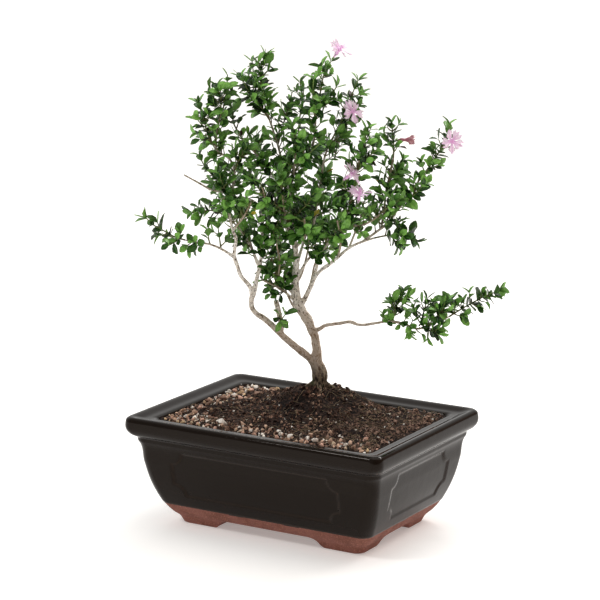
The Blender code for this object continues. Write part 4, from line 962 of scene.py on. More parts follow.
def scatter_tree():
    """Copies of small stones strewn over a surface, each turned and sized by chance."""
    inputs = {
        "Stones": "Collection", "Share": "String", "Spacing": "Float", "Density": "Float",
        "Smallest": "Float", "Largest": "Float", "Seed": "Int", "Finish": "Material",
    }
    tree, given, end = new_tree("strewn_stones", inputs)
    share = add_node(tree, "GeometryNodeInputNamedAttribute", {"Name": given["Share"]}).outputs[0]
    strew = {
        "Mesh": given["Geometry"], "Distance Min": given["Spacing"], "Density Max": given["Density"],
        "Density Factor": share, "Seed": given["Seed"],
    }
    spots = add_node(tree, "GeometryNodeDistributePointsOnFaces", strew, distribute_method="POISSON")
    span = {2: given["Smallest"], 3: given["Largest"], 8: given["Seed"]}
    size = add_node(tree, "FunctionNodeRandomValue", span, data_type="FLOAT").outputs[1]
    span = {1: (FULL_TURN, FULL_TURN, FULL_TURN), 8: 2}
    turn = add_node(tree, "FunctionNodeRandomValue", span, data_type="FLOAT_VECTOR").outputs[0]
    span = {4: 0, 5: STONE_SHAPES - 1, 8: 3}
    shape = add_node(tree, "FunctionNodeRandomValue", span, data_type="INT").outputs[2]
    hue = add_node(tree, "FunctionNodeRandomValue", {8: 4}, data_type="FLOAT").outputs[1]
    stones = {"Collection": given["Stones"], "Separate Children": True, "Reset Children": True}
    stones = add_node(tree, "GeometryNodeCollectionInfo", stones).outputs[0]
    copies = {
        "Points": spots.outputs[0], "Instance": stones, "Pick Instance": True, "Instance Index": shape,
        "Rotation": turn, "Scale": size,
    }
    placed = add_node(tree, "GeometryNodeInstanceOnPoints", copies).outputs[0]
    held = {"Geometry": placed, "Name": "hue", "Value": hue}
    placed = add_node(tree, "GeometryNodeStoreNamedAttribute", held, domain="INSTANCE").outputs[0]
    tree.links.new(finished(tree, placed, given["Finish"]), end)
    return tree


def bark_tree():
    """Ridges and flakes raised along the bark's own lines."""
    inputs = {"Depth": "Float", "Ridge Width": "Float", "Finish": "Material"}
    tree, given, end = new_tree("bark_relief", inputs)
    scale = add_node(tree, "ShaderNodeMath", (1, given["Ridge Width"]), operation="DIVIDE").outputs[0]
    flow = add_node(tree, "GeometryNodeInputNamedAttribute", {"Name": "flow"}, data_type="FLOAT_VECTOR")
    girth = add_node(tree, "GeometryNodeInputNamedAttribute", {"Name": "girth"}, data_type="FLOAT")
    lines = {"Vector": flow.outputs[0], "Scale": scale, "Detail": 3, "Roughness": 0.6}
    rise = add_node(tree, "ShaderNodeTexNoise", lines).outputs[0]
    for step, value in (("SUBTRACT", 0.5), ("MULTIPLY", given["Depth"]), ("MULTIPLY", girth.outputs[0])):
        rise = add_node(tree, "ShaderNodeMath", (rise, value), operation=step).outputs[0]
    normal = add_node(tree, "GeometryNodeInputNormal").outputs[0]
    shift = add_node(tree, "ShaderNodeVectorMath", {0: normal, "Scale": rise}, operation="SCALE").outputs[0]
    raised = add_node(tree, "GeometryNodeSetPosition", {"Geometry": given["Geometry"], "Offset": shift})
    tree.links.new(finished(tree, raised.outputs[0], given["Finish"]), end)
    return tree
def glaze_finish(settings):
    """Black gloss glaze, poured and fired: mirror-smooth over a faint roll, browner where it runs thin."""
    dullest = settings.glaze_roughness + 0.05
    name = "black_gloss_glaze_poured_and_fired"
    material, tree, shader = start_material(name, settings.glaze_colour, settings.glaze_roughness, GLAZE_IOR)
    shader.inputs["Specular IOR Level"].default_value = GLAZE_SHINE
    shader.inputs["Specular Tint"].default_value = shade("f6ebe2")
    thin = add_node(tree, "ShaderNodeAttribute", attribute_name="thin_glaze").outputs["Fac"]
    colour = tinted(tree, shade(settings.glaze_colour), "3a2a20", thin)
    span = (speckle(tree, 9 * MM), 0.35, 0.75, settings.glaze_roughness, dullest)
    gloss = add_node(tree, "ShaderNodeMapRange", span, interpolation_type="SMOOTHSTEP")
    tree.links.new(gloss.outputs[0], shader.inputs["Roughness"])
    return coated(material, colour, speckle(tree, 11 * MM, 2), 0.12 * MM)


def clay_finish(settings):
    """Bare red earthenware, pressed and fired: dull, sandy and blotched by the kiln."""
    material, tree = start_material("bare_red_earthenware_pressed", settings.clay_colour, 0.82)[:2]
    colour = tinted(tree, shade(settings.clay_colour), "703f31", speckle(tree, 12 * MM), 0, 1, 0.35, 0.65)
    colour = tinted(tree, colour, "a56d58", speckle(tree, 0.9 * MM, 2), 0, 1, 0.5, 0.75)
    return coated(material, colour, speckle(tree, 0.8 * MM, 3), 0.15 * MM)


def soil_finish(settings):
    """Damp peat potting soil, sieved and pressed down: near black in its hollows, brown where it dries."""
    material, tree, shader = start_material("damp_sieved_potting_soil", settings.peat_colour, 0.95)
    shader.inputs["Specular IOR Level"].default_value = SOIL_SHINE
    colour = tinted(tree, shade(settings.peat_colour), "5c473b", speckle(tree, 30 * MM, 5), 0, 1, 0.42, 0.68)
    colour = tinted(tree, colour, "0c0706", speckle(tree, 1.8 * MM, 5), 1, 0, 0.4, 0.66)
    return coated(material, colour, speckle(tree, 1.2 * MM, 5), 0.5 * MM)


def crumb_finish(settings):
    """Loose crumbs of peat and bark fines, broken and dull, each a little lighter or darker."""
    material, tree, shader = start_material("broken_peat_and_bark_fines", settings.peat_colour, 0.92)
    shader.inputs["Specular IOR Level"].default_value = SOIL_SHINE
    tint = add_node(tree, "ShaderNodeAttribute", attribute_name="hue").outputs["Fac"]
    place = add_node(tree, "ShaderNodeTexCoord").outputs["Object"]
    along = add_node(tree, "ShaderNodeSeparateXYZ", [place]).outputs[0]
    colour = tinted(tree, shade("362621"), "93705f", tint, 0, 1, 0.1, 0.75)
    colour = tinted(tree, colour, "b3937e", tint, 0, 1, 0.7, 0.92)
    colour = tinted(tree, colour, WET_TONE, speckle(tree, 22 * MM, 3), 0.7, 0, 0.38, 0.6)
    colour = tinted(tree, colour, DRY_TONE, along, 0, 0.6, 0, 45 * MM)
    colour = tinted(tree, colour, "150d0a", speckle(tree, 1.4 * MM, 4), 0, 0.85, 0.44, 0.58)
    return coated(material, colour, speckle(tree, 0.7 * MM, 3), 0.2 * MM)


def gravel_finish():
    """Crushed feldspar gravel, broken and unwashed: tan, pink and cream chips with dusty faces."""
    material, tree = start_material("crushed_feldspar_gravel", "c9a58a", 0.75)[:2]
    tint = add_node(tree, "ShaderNodeAttribute", attribute_name="hue").outputs["Fac"]
    colour = shade("8a6a58")
    for tone, start, end in (
        ("c9a78f", 0.1, 0.4), ("d8ab97", 0.45, 0.58), ("d3b58c", 0.66, 0.74), ("efe7dd", 0.8, 0.88),
    ):
        colour = tinted(tree, colour, tone, tint, 0, 1, start, end)
    colour = tinted(tree, colour, "6b5040", speckle(tree, 1.4 * MM, 4), 0, 0.7, 0.52, 0.7)
    return coated(material, colour, speckle(tree, 0.6 * MM, 3), 0.12 * MM)


def grit_finish():
    """White pumice and perlite grit, puffed and crushed: chalky, with small dark pores."""
    material, tree = start_material("crushed_white_pumice_grit", "e8e3da", 0.9)[:2]
    tint = add_node(tree, "ShaderNodeAttribute", attribute_name="hue").outputs["Fac"]
    colour = tinted(tree, shade("f2efe9"), "c9bfae", tint)
    colour = tinted(tree, colour, "7d7466", speckle(tree, 0.5 * MM, 3), 0, 0.6, 0.55, 0.7)
    return coated(material, colour, speckle(tree, 0.5 * MM, 3), 0.1 * MM)


def fibre_finish():
    """Dry fine roots and moss threads, wiry and matt, from straw to dark brown."""
    material, tree = start_material("dry_fine_root_fibres", "6d5540", 0.8)[:2]
    tint = add_node(tree, "ShaderNodeAttribute", attribute_name="hue").outputs["Fac"]
    colour = tinted(tree, shade("3b2c20"), "a08c6c", tint)
    colour = tinted(tree, colour, "57442f", speckle(tree, 5 * MM), 0, 0.5, 0.4, 0.6)
    return coated(material, colour)


def bark_finish(settings):
    """Serissa bark, grown and flaking: pale with fine fissures on limbs, brown below and on thin twigs."""
    material, tree, shader = start_material("flaking_pale_serissa_bark", settings.bark_colour, 0.85)
    shader.inputs["Specular IOR Level"].default_value = PLANT_SHINE
    flow = add_node(tree, "ShaderNodeAttribute", attribute_name="flow").outputs["Vector"]
    girth = add_node(tree, "ShaderNodeAttribute", attribute_name="girth").outputs["Fac"]
    place = add_node(tree, "ShaderNodeTexCoord").outputs["Object"]
    height = add_node(tree, "ShaderNodeSeparateXYZ", [place]).outputs[2]
    fissures = {"Vector": flow, "Scale": 1 / FISSURE_WIDTH, "Detail": 5}
    lines = add_node(tree, "ShaderNodeTexNoise", fissures).outputs[0]
    colour = shade(settings.bark_colour)
    for tone, share, *span in (
        (settings.bark_shade, speckle(tree, 6 * MM, 4), 0, 1, 0.4, 0.6),
        ("8f8468", speckle(tree, 9 * MM, 3), 0, 0.45, 0.52, 0.64),
        ("f3ede4", lines, 0, 0.85, 0.52, 0.6),
        ("4c3c2d", lines, 1, 0, 0.34, 0.43),
        ("43372c", speckle(tree, 1.1 * MM, 3), 0, 0.85, 0.57, 0.64),
        ("83704f", girth, 0.8, 0, 0.6 * MM, 1.15 * MM),
        ("a08468", height, 0.6, 0, 130 * MM, 162 * MM),
    ):
        colour = tinted(tree, colour, tone, share, *span)
    span = (height, 96 * MM, 116 * MM, 1, 0)
    foot = add_node(tree, "ShaderNodeMapRange", span, interpolation_type="SMOOTHSTEP").outputs[0]
    dark = tinted(tree, shade("1f1611"), "7d6e5a", lines, 0, 1, 0.4, 0.6)
    colour = add_node(tree, "ShaderNodeMix", {0: foot, 6: colour, 7: dark}, data_type="RGBA").outputs[2]
    span = (speckle(tree, 4 * MM, 3), 0.52, 0.64, 0, 0.6)
    moss = add_node(tree, "ShaderNodeMapRange", span, interpolation_type="SMOOTHSTEP").outputs[0]
    moss = add_node(tree, "ShaderNodeMath", (moss, foot), operation="MULTIPLY").outputs[0]
    return coated(material, tinted(tree, colour, "4c5236", moss), lines, 0.4 * MM)


def stem_finish():
    """Young serissa shoots, green and smooth at the tip and turning to brown bark below."""
    material, tree = start_material("young_serissa_shoot_bark", "4c5a2c", 0.7)[:2]
    tint = add_node(tree, "ShaderNodeAttribute", attribute_name="hue").outputs["Fac"]
    colour = tinted(tree, shade("66563a"), "6d8a3c", tint)
    colour = tinted(tree, colour, "3a3022", speckle(tree, 1.5 * MM, 3), 0, 0.6, 0.45, 0.65)
    return coated(material, colour, speckle(tree, 0.6 * MM, 2), 0.05 * MM)


def blade_place(tree):
    """How far off its midrib, and how far along, a place on a leaf or a petal is."""
    chart = add_node(tree, "ShaderNodeUVMap", uv_map="blade_map").outputs[0]
    aside, along = add_node(tree, "ShaderNodeSeparateXYZ", [chart]).outputs[:2]
    off = add_node(tree, "ShaderNodeMath", (aside, 0.5), operation="SUBTRACT").outputs[0]
    return add_node(tree, "ShaderNodeMath", [off], operation="ABSOLUTE").outputs[0], along


def leaf_finish(settings):
    """Serissa leaves, grown: waxy with a pale sunken midrib, duller and paler below, bright when young, and
    near black when old, partly as painted shade.
    """
    material, tree, shader = start_material("waxy_serissa_leaf", settings.mature_colour, 0.35, 1.45)
    shader.inputs["Specular IOR Level"].default_value = PLANT_SHINE
    hue = add_node(tree, "ShaderNodeAttribute", attribute_name="hue").outputs["Fac"]
    under = add_node(tree, "ShaderNodeAttribute", attribute_name="underside").outputs["Fac"]
    off, along = blade_place(tree)
    span = (off, 0.02, 0.07, 1, 0)
    midrib = add_node(tree, "ShaderNodeMapRange", span, interpolation_type="SMOOTHSTEP").outputs[0]
    lean = add_node(tree, "ShaderNodeMath", (off, -0.55, along), operation="MULTIPLY_ADD").outputs[0]
    lean = add_node(tree, "ShaderNodeMath", (lean, 50), operation="MULTIPLY").outputs[0]
    ribs = add_node(tree, "ShaderNodeMath", [lean], operation="SINE").outputs[0]
    span = (ribs, 0.7, 1, 0, 0.25)
    ribs = add_node(tree, "ShaderNodeMapRange", span, interpolation_type="SMOOTHSTEP").outputs[0]
    veins = add_node(tree, "ShaderNodeMath", (ribs, midrib), operation="MAXIMUM").outputs[0]
    # The oldest leaves start from near black: partly their age, partly painted shade inside the crown.
    colour = shade(settings.old_leaf_and_shade_colour)
    for tone, share, *span in (
        (settings.mature_colour, hue, 0, 1, 0, 0.5),
        (settings.young_colour, hue, 0, 1, 0.45, 1),
        ("2c5a1c", speckle(tree, 3 * MM, 3), 0, 0.3, 0.4, 0.65),
        ("5f8a3c", veins, 0, 0.4, 0, 1),
        ("5f7f45", under, 0, 0.35, 0, 1),
        ("c4b53a", hue, 0, 1, 1.4, 1.6),
        ("3a1a14", hue, 1, 0, -0.6, -0.4),
    ):
        colour = tinted(tree, colour, tone, share, *span)
    span = (under, 0, 1, 0.27, 0.6)
    dull = add_node(tree, "ShaderNodeMapRange", span, interpolation_type="SMOOTHSTEP").outputs[0]
    tree.links.new(dull, shader.inputs["Roughness"])
    return coated(material, colour, veins, -0.12 * MM)


def petal_finish(name, base, tip, vein):
    """Thin silky petals: lilac-white with a deeper line down each lobe, and green sepals at the foot."""
    material, tree, shader = start_material(name, base, 0.55)
    tint = add_node(tree, "ShaderNodeAttribute", attribute_name="hue").outputs["Fac"]
    off, along = blade_place(tree)
    colour = tinted(tree, shade(base), tip, along, 0, 1, 0.12, 0.6)
    colour = tinted(tree, colour, vein, off, 0.5, 0, 0.01, 0.09)
    colour = tinted(tree, colour, vein, speckle(tree, 2 * MM, 3), 0, 0.25, 0.45, 0.7)
    colour = tinted(tree, colour, "6f8f4a", tint, 0, 1, 0.3, 0.9)
    shader.inputs["Subsurface Weight"].default_value = 0.15
    shader.inputs["Subsurface Radius"].default_value = (1, 0.6, 0.7)
    shader.inputs["Subsurface Scale"].default_value = 1 * MM
    return coated(material, colour)


def screen_finish():
    """Black polypropylene mesh, moulded: satin, with a fine dust of soil."""
    material, tree = start_material("black_moulded_polypropylene", "17181a", 0.5)[:2]
    colour = tinted(tree, shade("17181a"), "3b2f27", speckle(tree, 2 * MM), 0, 0.4, 0.5, 0.7)
    return coated(material, colour, speckle(tree, 0.8 * MM, 2), 0.04 * MM)


def paper_finish(settings):
    """Seamless white background paper: matt and even, with a painted glow in it that lifts the shadows cast
    on it.
    """
    material, tree, shader = start_material("seamless_background_paper", settings.paper_colour, 0.95)
    # Painted light: the paper glows evenly, which lightens the shadows that fall on the floor.
    shader.inputs["Emission Color"].default_value = shade(settings.paper_colour)
    shader.inputs["Emission Strength"].default_value = settings.painted_floor_glow
    fibres = speckle(tree, 300 * MM, 2)
    return coated(material, tinted(tree, shade(settings.paper_colour), "f4f2ee", fibres, 0, 0.04, 0, 1))



def profile_through(levels, step):
    """Height, inset and corner radius in metres along a smooth line through the levels, a step apart."""
    levels = np.array(levels, float) * MM
    lengths = np.hypot(*np.diff(levels[:, :2], axis=0).T)
    along = np.concatenate([[0], np.cumsum(lengths)])
    slopes = np.gradient(levels, along, axis=0)
    shares = [np.linspace(0, 1, max(2, round(length / step) + 1))[:-1] for length in lengths]
    smooth = []
    for span, (length, share) in enumerate(zip(lengths, shares)):
        t = share[:, None]
        smooth.append(
            (2 * t**3 - 3 * t**2 + 1) * levels[span] + (t**3 - 2 * t**2 + t) * length * slopes[span]
            + (3 * t**2 - 2 * t**3) * levels[span + 1] + (t**3 - t**2) * length * slopes[span + 1]
        )
    return np.vstack(smooth + [levels[-1:]])


def rim_places(side_steps, corner_steps):
    """How each point of a round-cornered ring is found: its corner's signs, its arm and its way onward."""
    places = []
    signs = [(1, 1), (-1, 1), (-1, -1), (1, -1)]
    for quarter, (side_x, side_y) in enumerate(signs):
        next_x, next_y = signs[(quarter + 1) % 4]
        for step in range(corner_steps + 1):
            turn = math.radians(90 * (quarter + step / corner_steps))
            places.append((side_x, side_y, side_x, side_y, turn, 0))
        steps = side_steps[quarter % 2]
        for step in range(1, steps):
            places.append((side_x, side_y, next_x, next_y, math.radians(90 * (quarter + 1)), step / steps))
    return np.array(places)


def ring_at(places, inset, radius):
    """Points of a ring with the given insets and corner radii, each one number or one for each point."""
    half = np.array([POT_LENGTH / 2, POT_DEPTH / 2]) - np.atleast_1d(inset)[:, None]
    radius = np.atleast_1d(radius)[:, None]
    arm = np.column_stack([np.cos(places[:, 4]), np.sin(places[:, 4])]) * radius
    first = places[:, 0:2] * (half - radius) + arm
    second = places[:, 2:4] * (half - radius) + arm
    share = places[:, 5:6]
    return first * (1 - share) + second * share


def ring_between(places, lean, height):
    """Points of a ring on a leaning wall, each at its own height."""
    inset, radius = (np.interp(height, lean[:, 0], lean[:, part]) for part in (1, 2))
    return ring_at(places, inset, radius)


def arch_height(x, y):
    """How high the pot's underside is: the two arches between the feet, each with a double curve."""
    highest = 0
    for place, foot_start in (
        (x, POT_LENGTH / 2 - SOLE_INSET - FOOT_LENGTH), (y, POT_DEPTH / 2 - SOLE_INSET - FOOT_DEPTH),
    ):
        steps = np.array(ARCH_STEPS) * MM + foot_start
        levels = np.array(ARCH_LEVELS) * APRON_HEIGHT
        highest = np.maximum(highest, np.interp(np.abs(place), steps, levels))
    return highest


def panel_depth(places, points, height):
    """How far a framed panel is pressed in at points of the wall: flat inside, with notched corners."""
    middle = sum(PANEL_HEIGHTS) / 2
    tall = (PANEL_HEIGHTS[1] - PANEL_HEIGHTS[0]) / 2
    sunk = np.zeros(len(points))
    for axis, half_length in enumerate(PANEL_HALF_LENGTHS):
        on_side = (places[:, 5] > 0) & (np.abs(places[:, axis] - places[:, 2 + axis]) > 1)
        away_x, away_z = np.abs(points[:, axis]) - half_length, np.abs(height - middle) - tall
        inside = np.maximum(away_x, away_z)
        notch = PANEL_NOTCH - np.hypot(away_x, away_z)
        outside = np.maximum(inside, notch)
        share = np.clip(0.5 - outside / PANEL_BEVEL, 0, 1)
        sunk += np.where(on_side, share * share * (3 - 2 * share), 0)
    return sunk


def grid_faces(rows, columns):
    """Faces between rings that all have as many points."""
    faces = []
    for row in range(rows - 1):
        for column in range(columns):
            following = (column + 1) % columns
            low, high = row * columns, (row + 1) * columns
            faces.append((low + column, low + following, high + following, high + column))
    return faces


def closed_faces(rows, columns):
    """Faces between rings, with the first and the last ring closed too."""
    ends = [tuple(reversed(range(columns))), tuple(range(columns * (rows - 1), columns * rows))]
    return grid_faces(rows, columns) + ends


def pot_rings(settings):
    """The pot's rings from under its middle, out over its feet, up its wall, over its rim and down inside."""
    places = rim_places(POT_SIDE_STEPS, POT_CORNER_STEPS)
    lean = profile_through(POT_OUTSIDE[:GLAZE_ROW + 1], step=0.9 * MM)
    lowest = np.zeros(len(places))
    for attempt in range(3):
        edge = ring_between(places, lean, lowest)
        lowest = arch_height(edge[:, 0], edge[:, 1])
    rings, thin = [], []
    for share in np.linspace(0.96, 0, UNDERSIDE_RINGS):
        under = edge * (1 - share)
        soft = 1 - 0.012 * (share == 0)
        rings.append(np.column_stack([under * soft, arch_height(under[:, 0], under[:, 1])]))
        thin.append(np.zeros(len(places)))
    for share in np.linspace(0.03, 1, CLAY_RINGS):
        height = lowest + (GLAZE_LINE - lowest) * share
        rings.append(np.column_stack([ring_between(places, lean, height), height]))
        thin.append(np.zeros(len(places)))
    for height, inset, radius in profile_through(POT_OUTSIDE[GLAZE_ROW:], step=1 * MM)[1:]:
        glazed = GLAZE_THICKNESS * min(1, (height - GLAZE_LINE) / (0.8 * MM))
        points = ring_at(places, inset - glazed, radius)
        sunk = panel_depth(places, points, height)
        points = ring_at(places, inset - glazed + settings.panel_relief * sunk, radius)
        rings.append(np.column_stack([points, np.full(len(places), height)]))
        edge_wear = 4 * sunk * (1 - sunk)
        foot_wear = max(0, 1 - (height - GLAZE_LINE) / (1.5 * MM))
        thin.append(np.maximum(0.25 * edge_wear, 0.8 * foot_wear))
    inside = [POT_OUTSIDE[-1]] + POT_INSIDE
    for height, inset, radius in profile_through(inside, step=1.5 * MM)[1:]:
        points = ring_at(places, inset, radius)
        rings.append(np.column_stack([points, np.full(len(places), height)]))
        thin.append(np.zeros(len(places)))
    return rings, thin


def build_pot(settings):
    """The glazed pot, finer than the solid: rolled rim, pressed panels, glaze edge and cloud-cut feet."""
    rings, thin = pot_rings(settings)
    columns = len(rings[0])
    faces = closed_faces(len(rings), columns)
    mesh = mesh_from("glazed_pot", np.vstack(rings), faces=faces, values={"thin_glaze": np.concatenate(thin)})
    mesh.materials.append(glaze_finish(settings))
    mesh.materials.append(clay_finish(settings))
    pot = add_object("glazed_pot", mesh)
    top_row = max(range(len(rings)), key=lambda row: rings[row][0, 2])
    for order, face in enumerate(mesh.polygons):
        wave = GLAZE_WAVE * math.sin(face.center.x / (7 * MM) + face.center.y / (5 * MM))
        bare_inside = order // columns >= top_row and face.center.z < SOIL_EDGE - 2 * MM
        face.material_index = 1 if face.center.z < GLAZE_LINE + wave or bare_inside else 0
        face.use_smooth = True
    cut_drains(pot)
    pot.data.set_sharp_from_angle(angle=math.radians(50))
    return settled(pot, "pot_glaze", "pot")


def cut_drains(pot):
    """Cut the two round drains through the pot's floor."""
    for side in (-1, 1):
        shape = bmesh.new()
        place = Matrix.Translation((side * DRAIN_SPACING / 2, 0, DRAIN_CUT / 2))
        bmesh.ops.create_cone(
            shape, cap_ends=True, segments=32, radius1=DRAIN_DIAMETER / 2, radius2=DRAIN_DIAMETER / 2,
            depth=DRAIN_CUT, matrix=place,
        )
        drain = add_object("drain", mesh_of("drain", shape))
        modified(pot, "BOOLEAN", operation="DIFFERENCE", solver="EXACT", object=drain)
        bpy.data.objects.remove(drain, do_unlink=True)


def lumps(x, y, size, seed):
    """Soft noise between -1 and 1 over the soil."""
    return noise.noise(Vector((x / size, y / size, seed)))


def soil_top(x, y):
    """The finished soil's level, with its crumbs and hollows."""
    fine = sum(height * lumps(x, y, size * MM, seed) for height, size, seed in SOIL_LUMPS)
    return soil_height(x, y) + fine * MM


def build_soil(settings):
    """The potting soil: its mound, its crumbly top and its sides down inside the pot."""
    places = rim_places(SOIL_SIDE_STEPS, SOIL_CORNER_STEPS)
    rings = []
    for height, inset, radius in SOIL_SIDE[:-1]:
        points = ring_at(places, inset * MM, radius * MM)
        rings.append(np.column_stack([points, np.full(len(points), height * MM)]))
    height, inset, radius = SOIL_SIDE[-1]
    edge = ring_at(places, inset * MM, radius * MM)
    centre = np.array(MOUND_PLACE)
    for share in np.linspace(0, 0.985, SOIL_RINGS):
        points = edge + (centre - edge) * share
        levels = [soil_top(x, y) for x, y in points]
        rings.append(np.column_stack([points, levels]))
    faces = closed_faces(len(rings), len(places))
    mesh = mesh_from("potting_soil", np.vstack(rings), faces=faces)
    mesh.materials.append(soil_finish(settings))
    mesh.shade_smooth()
    return settled(add_object("potting_soil", mesh), "soil", "soil")


def gravel_bed(x, y):
    """How thickly gravel lies here, from 0 to 1: in full by the left wall, and in patches further in."""
    patch = 0.65 + 0.35 * lumps(x, y, GRAVEL_PATCH, 3.5)
    return min(1, max(0, 5 * gravel_share(x, y) * patch - 1.25))


def strewing_ground():
    """The soil's top as an open sheet that holds how likely each kind of stone is."""
    places = rim_places(STREWING_SIDE_STEPS, STREWING_CORNER_STEPS)
    height, inset, radius = SOIL_SIDE[-1]
    edge = ring_at(places, (inset + 1.6) * MM, radius * MM)
    centre = np.array(MOUND_PLACE)
    rings, gravel, grit, crumbs = [], [], [], []
    for share in np.linspace(0, 0.93, STREWING_RINGS):
        points = edge + (centre - edge) * share
        for x, y in points:
            rings.append((x, y, soil_top(x, y)))
            near = math.exp(-((x - MOUND_PLACE.x) ** 2 + (y - MOUND_PLACE.y) ** 2) / DARK_SPREAD**2)
            gravel.append(gravel_bed(x, y))
            grit.append(min(1, 0.12 + 0.5 * gravel_share(x, y)) * (1 - 0.7 * near))
            clump = min(1, max(0, 0.55 + 1.6 * lumps(x, y, 5 * MM, 6.5)))
            crumbs.append((1 - 0.45 * gravel[-1]) * (0.25 + 0.75 * clump))
    faces = grid_faces(STREWING_RINGS, len(places))
    values = {"gravel": gravel, "grit": grit, "crumbs": crumbs}
    return mesh_from("strewing_ground", rings, faces=faces, values=values)


def stone_shapes(name, corners, flatness, seed, soft):
    """Broken stones about one unit across: the hull of chance points, with its edges worn a little."""
    draw = random.Random(seed)
    stones = []
    for order in range(STONE_SHAPES):
        shape = bmesh.new()
        for corner in range(corners):
            point = Vector((draw.gauss(0, 1), draw.gauss(0, 1), draw.gauss(0, 1))).normalized() * 0.5
            shape.verts.new((point.x, 0.82 * point.y, flatness * point.z))
        hull = bmesh.ops.convex_hull(shape, input=shape.verts)
        loose = [item for item in hull["geom_interior"] if isinstance(item, bmesh.types.BMVert)]
        bmesh.ops.delete(shape, geom=loose, context="VERTS")
        if soft:
            bmesh.ops.bevel(shape, geom=shape.edges, offset=soft, segments=1, affect="EDGES", profile=0.5)
        bmesh.ops.recalc_face_normals(shape, faces=shape.faces)
        mesh = mesh_of(f"{name}_{order}", shape)
        mesh.shade_smooth()
        mesh.set_sharp_from_angle(angle=math.radians(40))
        stones.append(mesh)
    return hide_shapes(name, stones)


def strew(name, ground, tree, stones, finish, values):
    """One kind of stone strewn over the soil."""
    thing = grown(add_object(name, ground.copy()), tree, {"Stones": stones, "Finish": finish, **values})
    return settled(thing, "soil")


def strew_soil(settings):
    """The gravel, white grit and peat crumbs that lie in the soil's top."""
    tree = scatter_tree()
    ground = strewing_ground()
    stones = stone_shapes("gravel_shape", corners=11, flatness=0.62, seed=11, soft=0.05)
    gravel = gravel_finish()
    strew("small_gravel", ground, tree, stones, gravel, {
        "Share": "gravel", "Spacing": 2.6 * MM, "Density": settings.gravel_density, "Smallest": 1.3 * MM,
        "Largest": 5.6 * MM, "Seed": 5,
    })
    lay_chips(stones, gravel)
    grit = stone_shapes("grit_shape", corners=9, flatness=0.8, seed=12, soft=0)
    strew("white_grit", ground, tree, grit, grit_finish(), {
        "Share": "grit", "Spacing": 1.6 * MM, "Density": settings.grit_density, "Smallest": 0.9 * MM,
        "Largest": 2.9 * MM, "Seed": 6,
    })
    crumbs = stone_shapes("crumb_shape", corners=8, flatness=0.75, seed=13, soft=0)
    strew("peat_crumbs", ground, tree, crumbs, crumb_finish(settings), {
        "Share": "crumbs", "Spacing": 1.6 * MM, "Density": settings.crumb_density, "Smallest": 1.4 * MM,
        "Largest": 5 * MM, "Seed": 7,
    })


def lay_chips(stones, finish):
    """The larger chips: the solid's own ones first, then more where gravel is likely."""
    draw = random.Random(9)
    chips = []
    for order, (x, y, size, turn) in enumerate(gravel_chips(CHIP_COUNT + EXTRA_CHIPS, seed=7)):
        if order >= CHIP_COUNT and gravel_bed(x, y) < 0.2:
            continue
        along, side = Euler(turn).to_matrix()[:2]
        length = size * (CHIP_FULLNESS if order < CHIP_COUNT else draw.uniform(*CHIP_SPREAD))
        place = Vector((x, y, soil_height(x, y) + 0.12 * size))
        breadth = length * draw.uniform(0.6, 1)
        chips.append((place, along, side, length, breadth, draw.randrange(STONE_SHAPES), draw.random()))
    for x, y, length, hue in PALE_STONES:
        place, length = Vector((x, y, 0)) * MM, length * MM
        place.z = soil_height(place.x, place.y) + 0.15 * length
        along = Vector((1, draw.uniform(-0.5, 0.5), draw.uniform(-0.2, 0.2))).normalized()
        side = along.cross(Vector((0, 0, 1))).normalized()
        chips.append((place, along, side, length, 0.85 * length, draw.randrange(STONE_SHAPES), hue))
    thing = add_object("gravel_chips", bpy.data.meshes.new("gravel_chips"))
    return settled(sprouted(thing, chips, leafy_tree(), {"Shapes": stones, "Blade Finish": finish}), "soil")


def fibre_routes(count, seed):
    """Fine roots and moss threads that wander over the soil."""
    draw = random.Random(seed)
    half = Vector((POT_LENGTH / 2 - FLANGE_INSET - 4 * MM, POT_DEPTH / 2 - FLANGE_INSET - 4 * MM))
    routes, hues = [], []
    while len(routes) < count:
        x, y = draw.uniform(-half.x, half.x), draw.uniform(-half.y, half.y)
        if draw.random() > 0.35 + 0.65 * (x > 15 * MM):
            continue
        heading, curl = draw.uniform(0, 2 * math.pi), draw.uniform(-0.5, 0.5)
        lift, thick = draw.uniform(0.4, 1.6) * MM, draw.uniform(0.11, 0.2) * MM
        steps = draw.randint(6, 11)
        points = []
        for step in range(steps):
            arc = math.sin(math.pi * step / (steps - 1))
            points.append((x, y, soil_top(x, y) + 0.25 * MM + lift * arc, thick * (1 - 0.5 * step / steps)))
            heading += curl + draw.uniform(-0.45, 0.45)
            x = min(half.x, max(-half.x, x + FIBRE_STEP * math.cos(heading)))
            y = min(half.y, max(-half.y, y + FIBRE_STEP * math.sin(heading)))
        routes.append(np.array(points))
        hues.append(np.full(steps, draw.random()))
    return routes, hues


def build_fibres(settings, tree):
    """The root fibres as one piece."""
    routes, hues = fibre_routes(settings.fibre_count, seed=21)
    thing = add_object("root_fibres", path_mesh("root_fibres", routes, hues))
    grown(thing, tree, {"Stem Sides": 5, "Stem Finish": fibre_finish(), "Blade Finish": fibre_finish()})
    return settled(thing, "soil")


def wood_routes():
    """Every limb's and twig's smooth route, the trunk's with its stump down in the soil."""
    routes = {name: smooth_route(metres(points), WOOD_STEP) for name, points in {**WOOD, **TWIGS}.items()}
    stump = [(MOUND_PLACE.x, MOUND_PLACE.y, level * MM, STUMP_RADIUS) for level in STUMP_LEVELS]
    routes["trunk"] = np.vstack([stump, routes["trunk"]])
    return routes


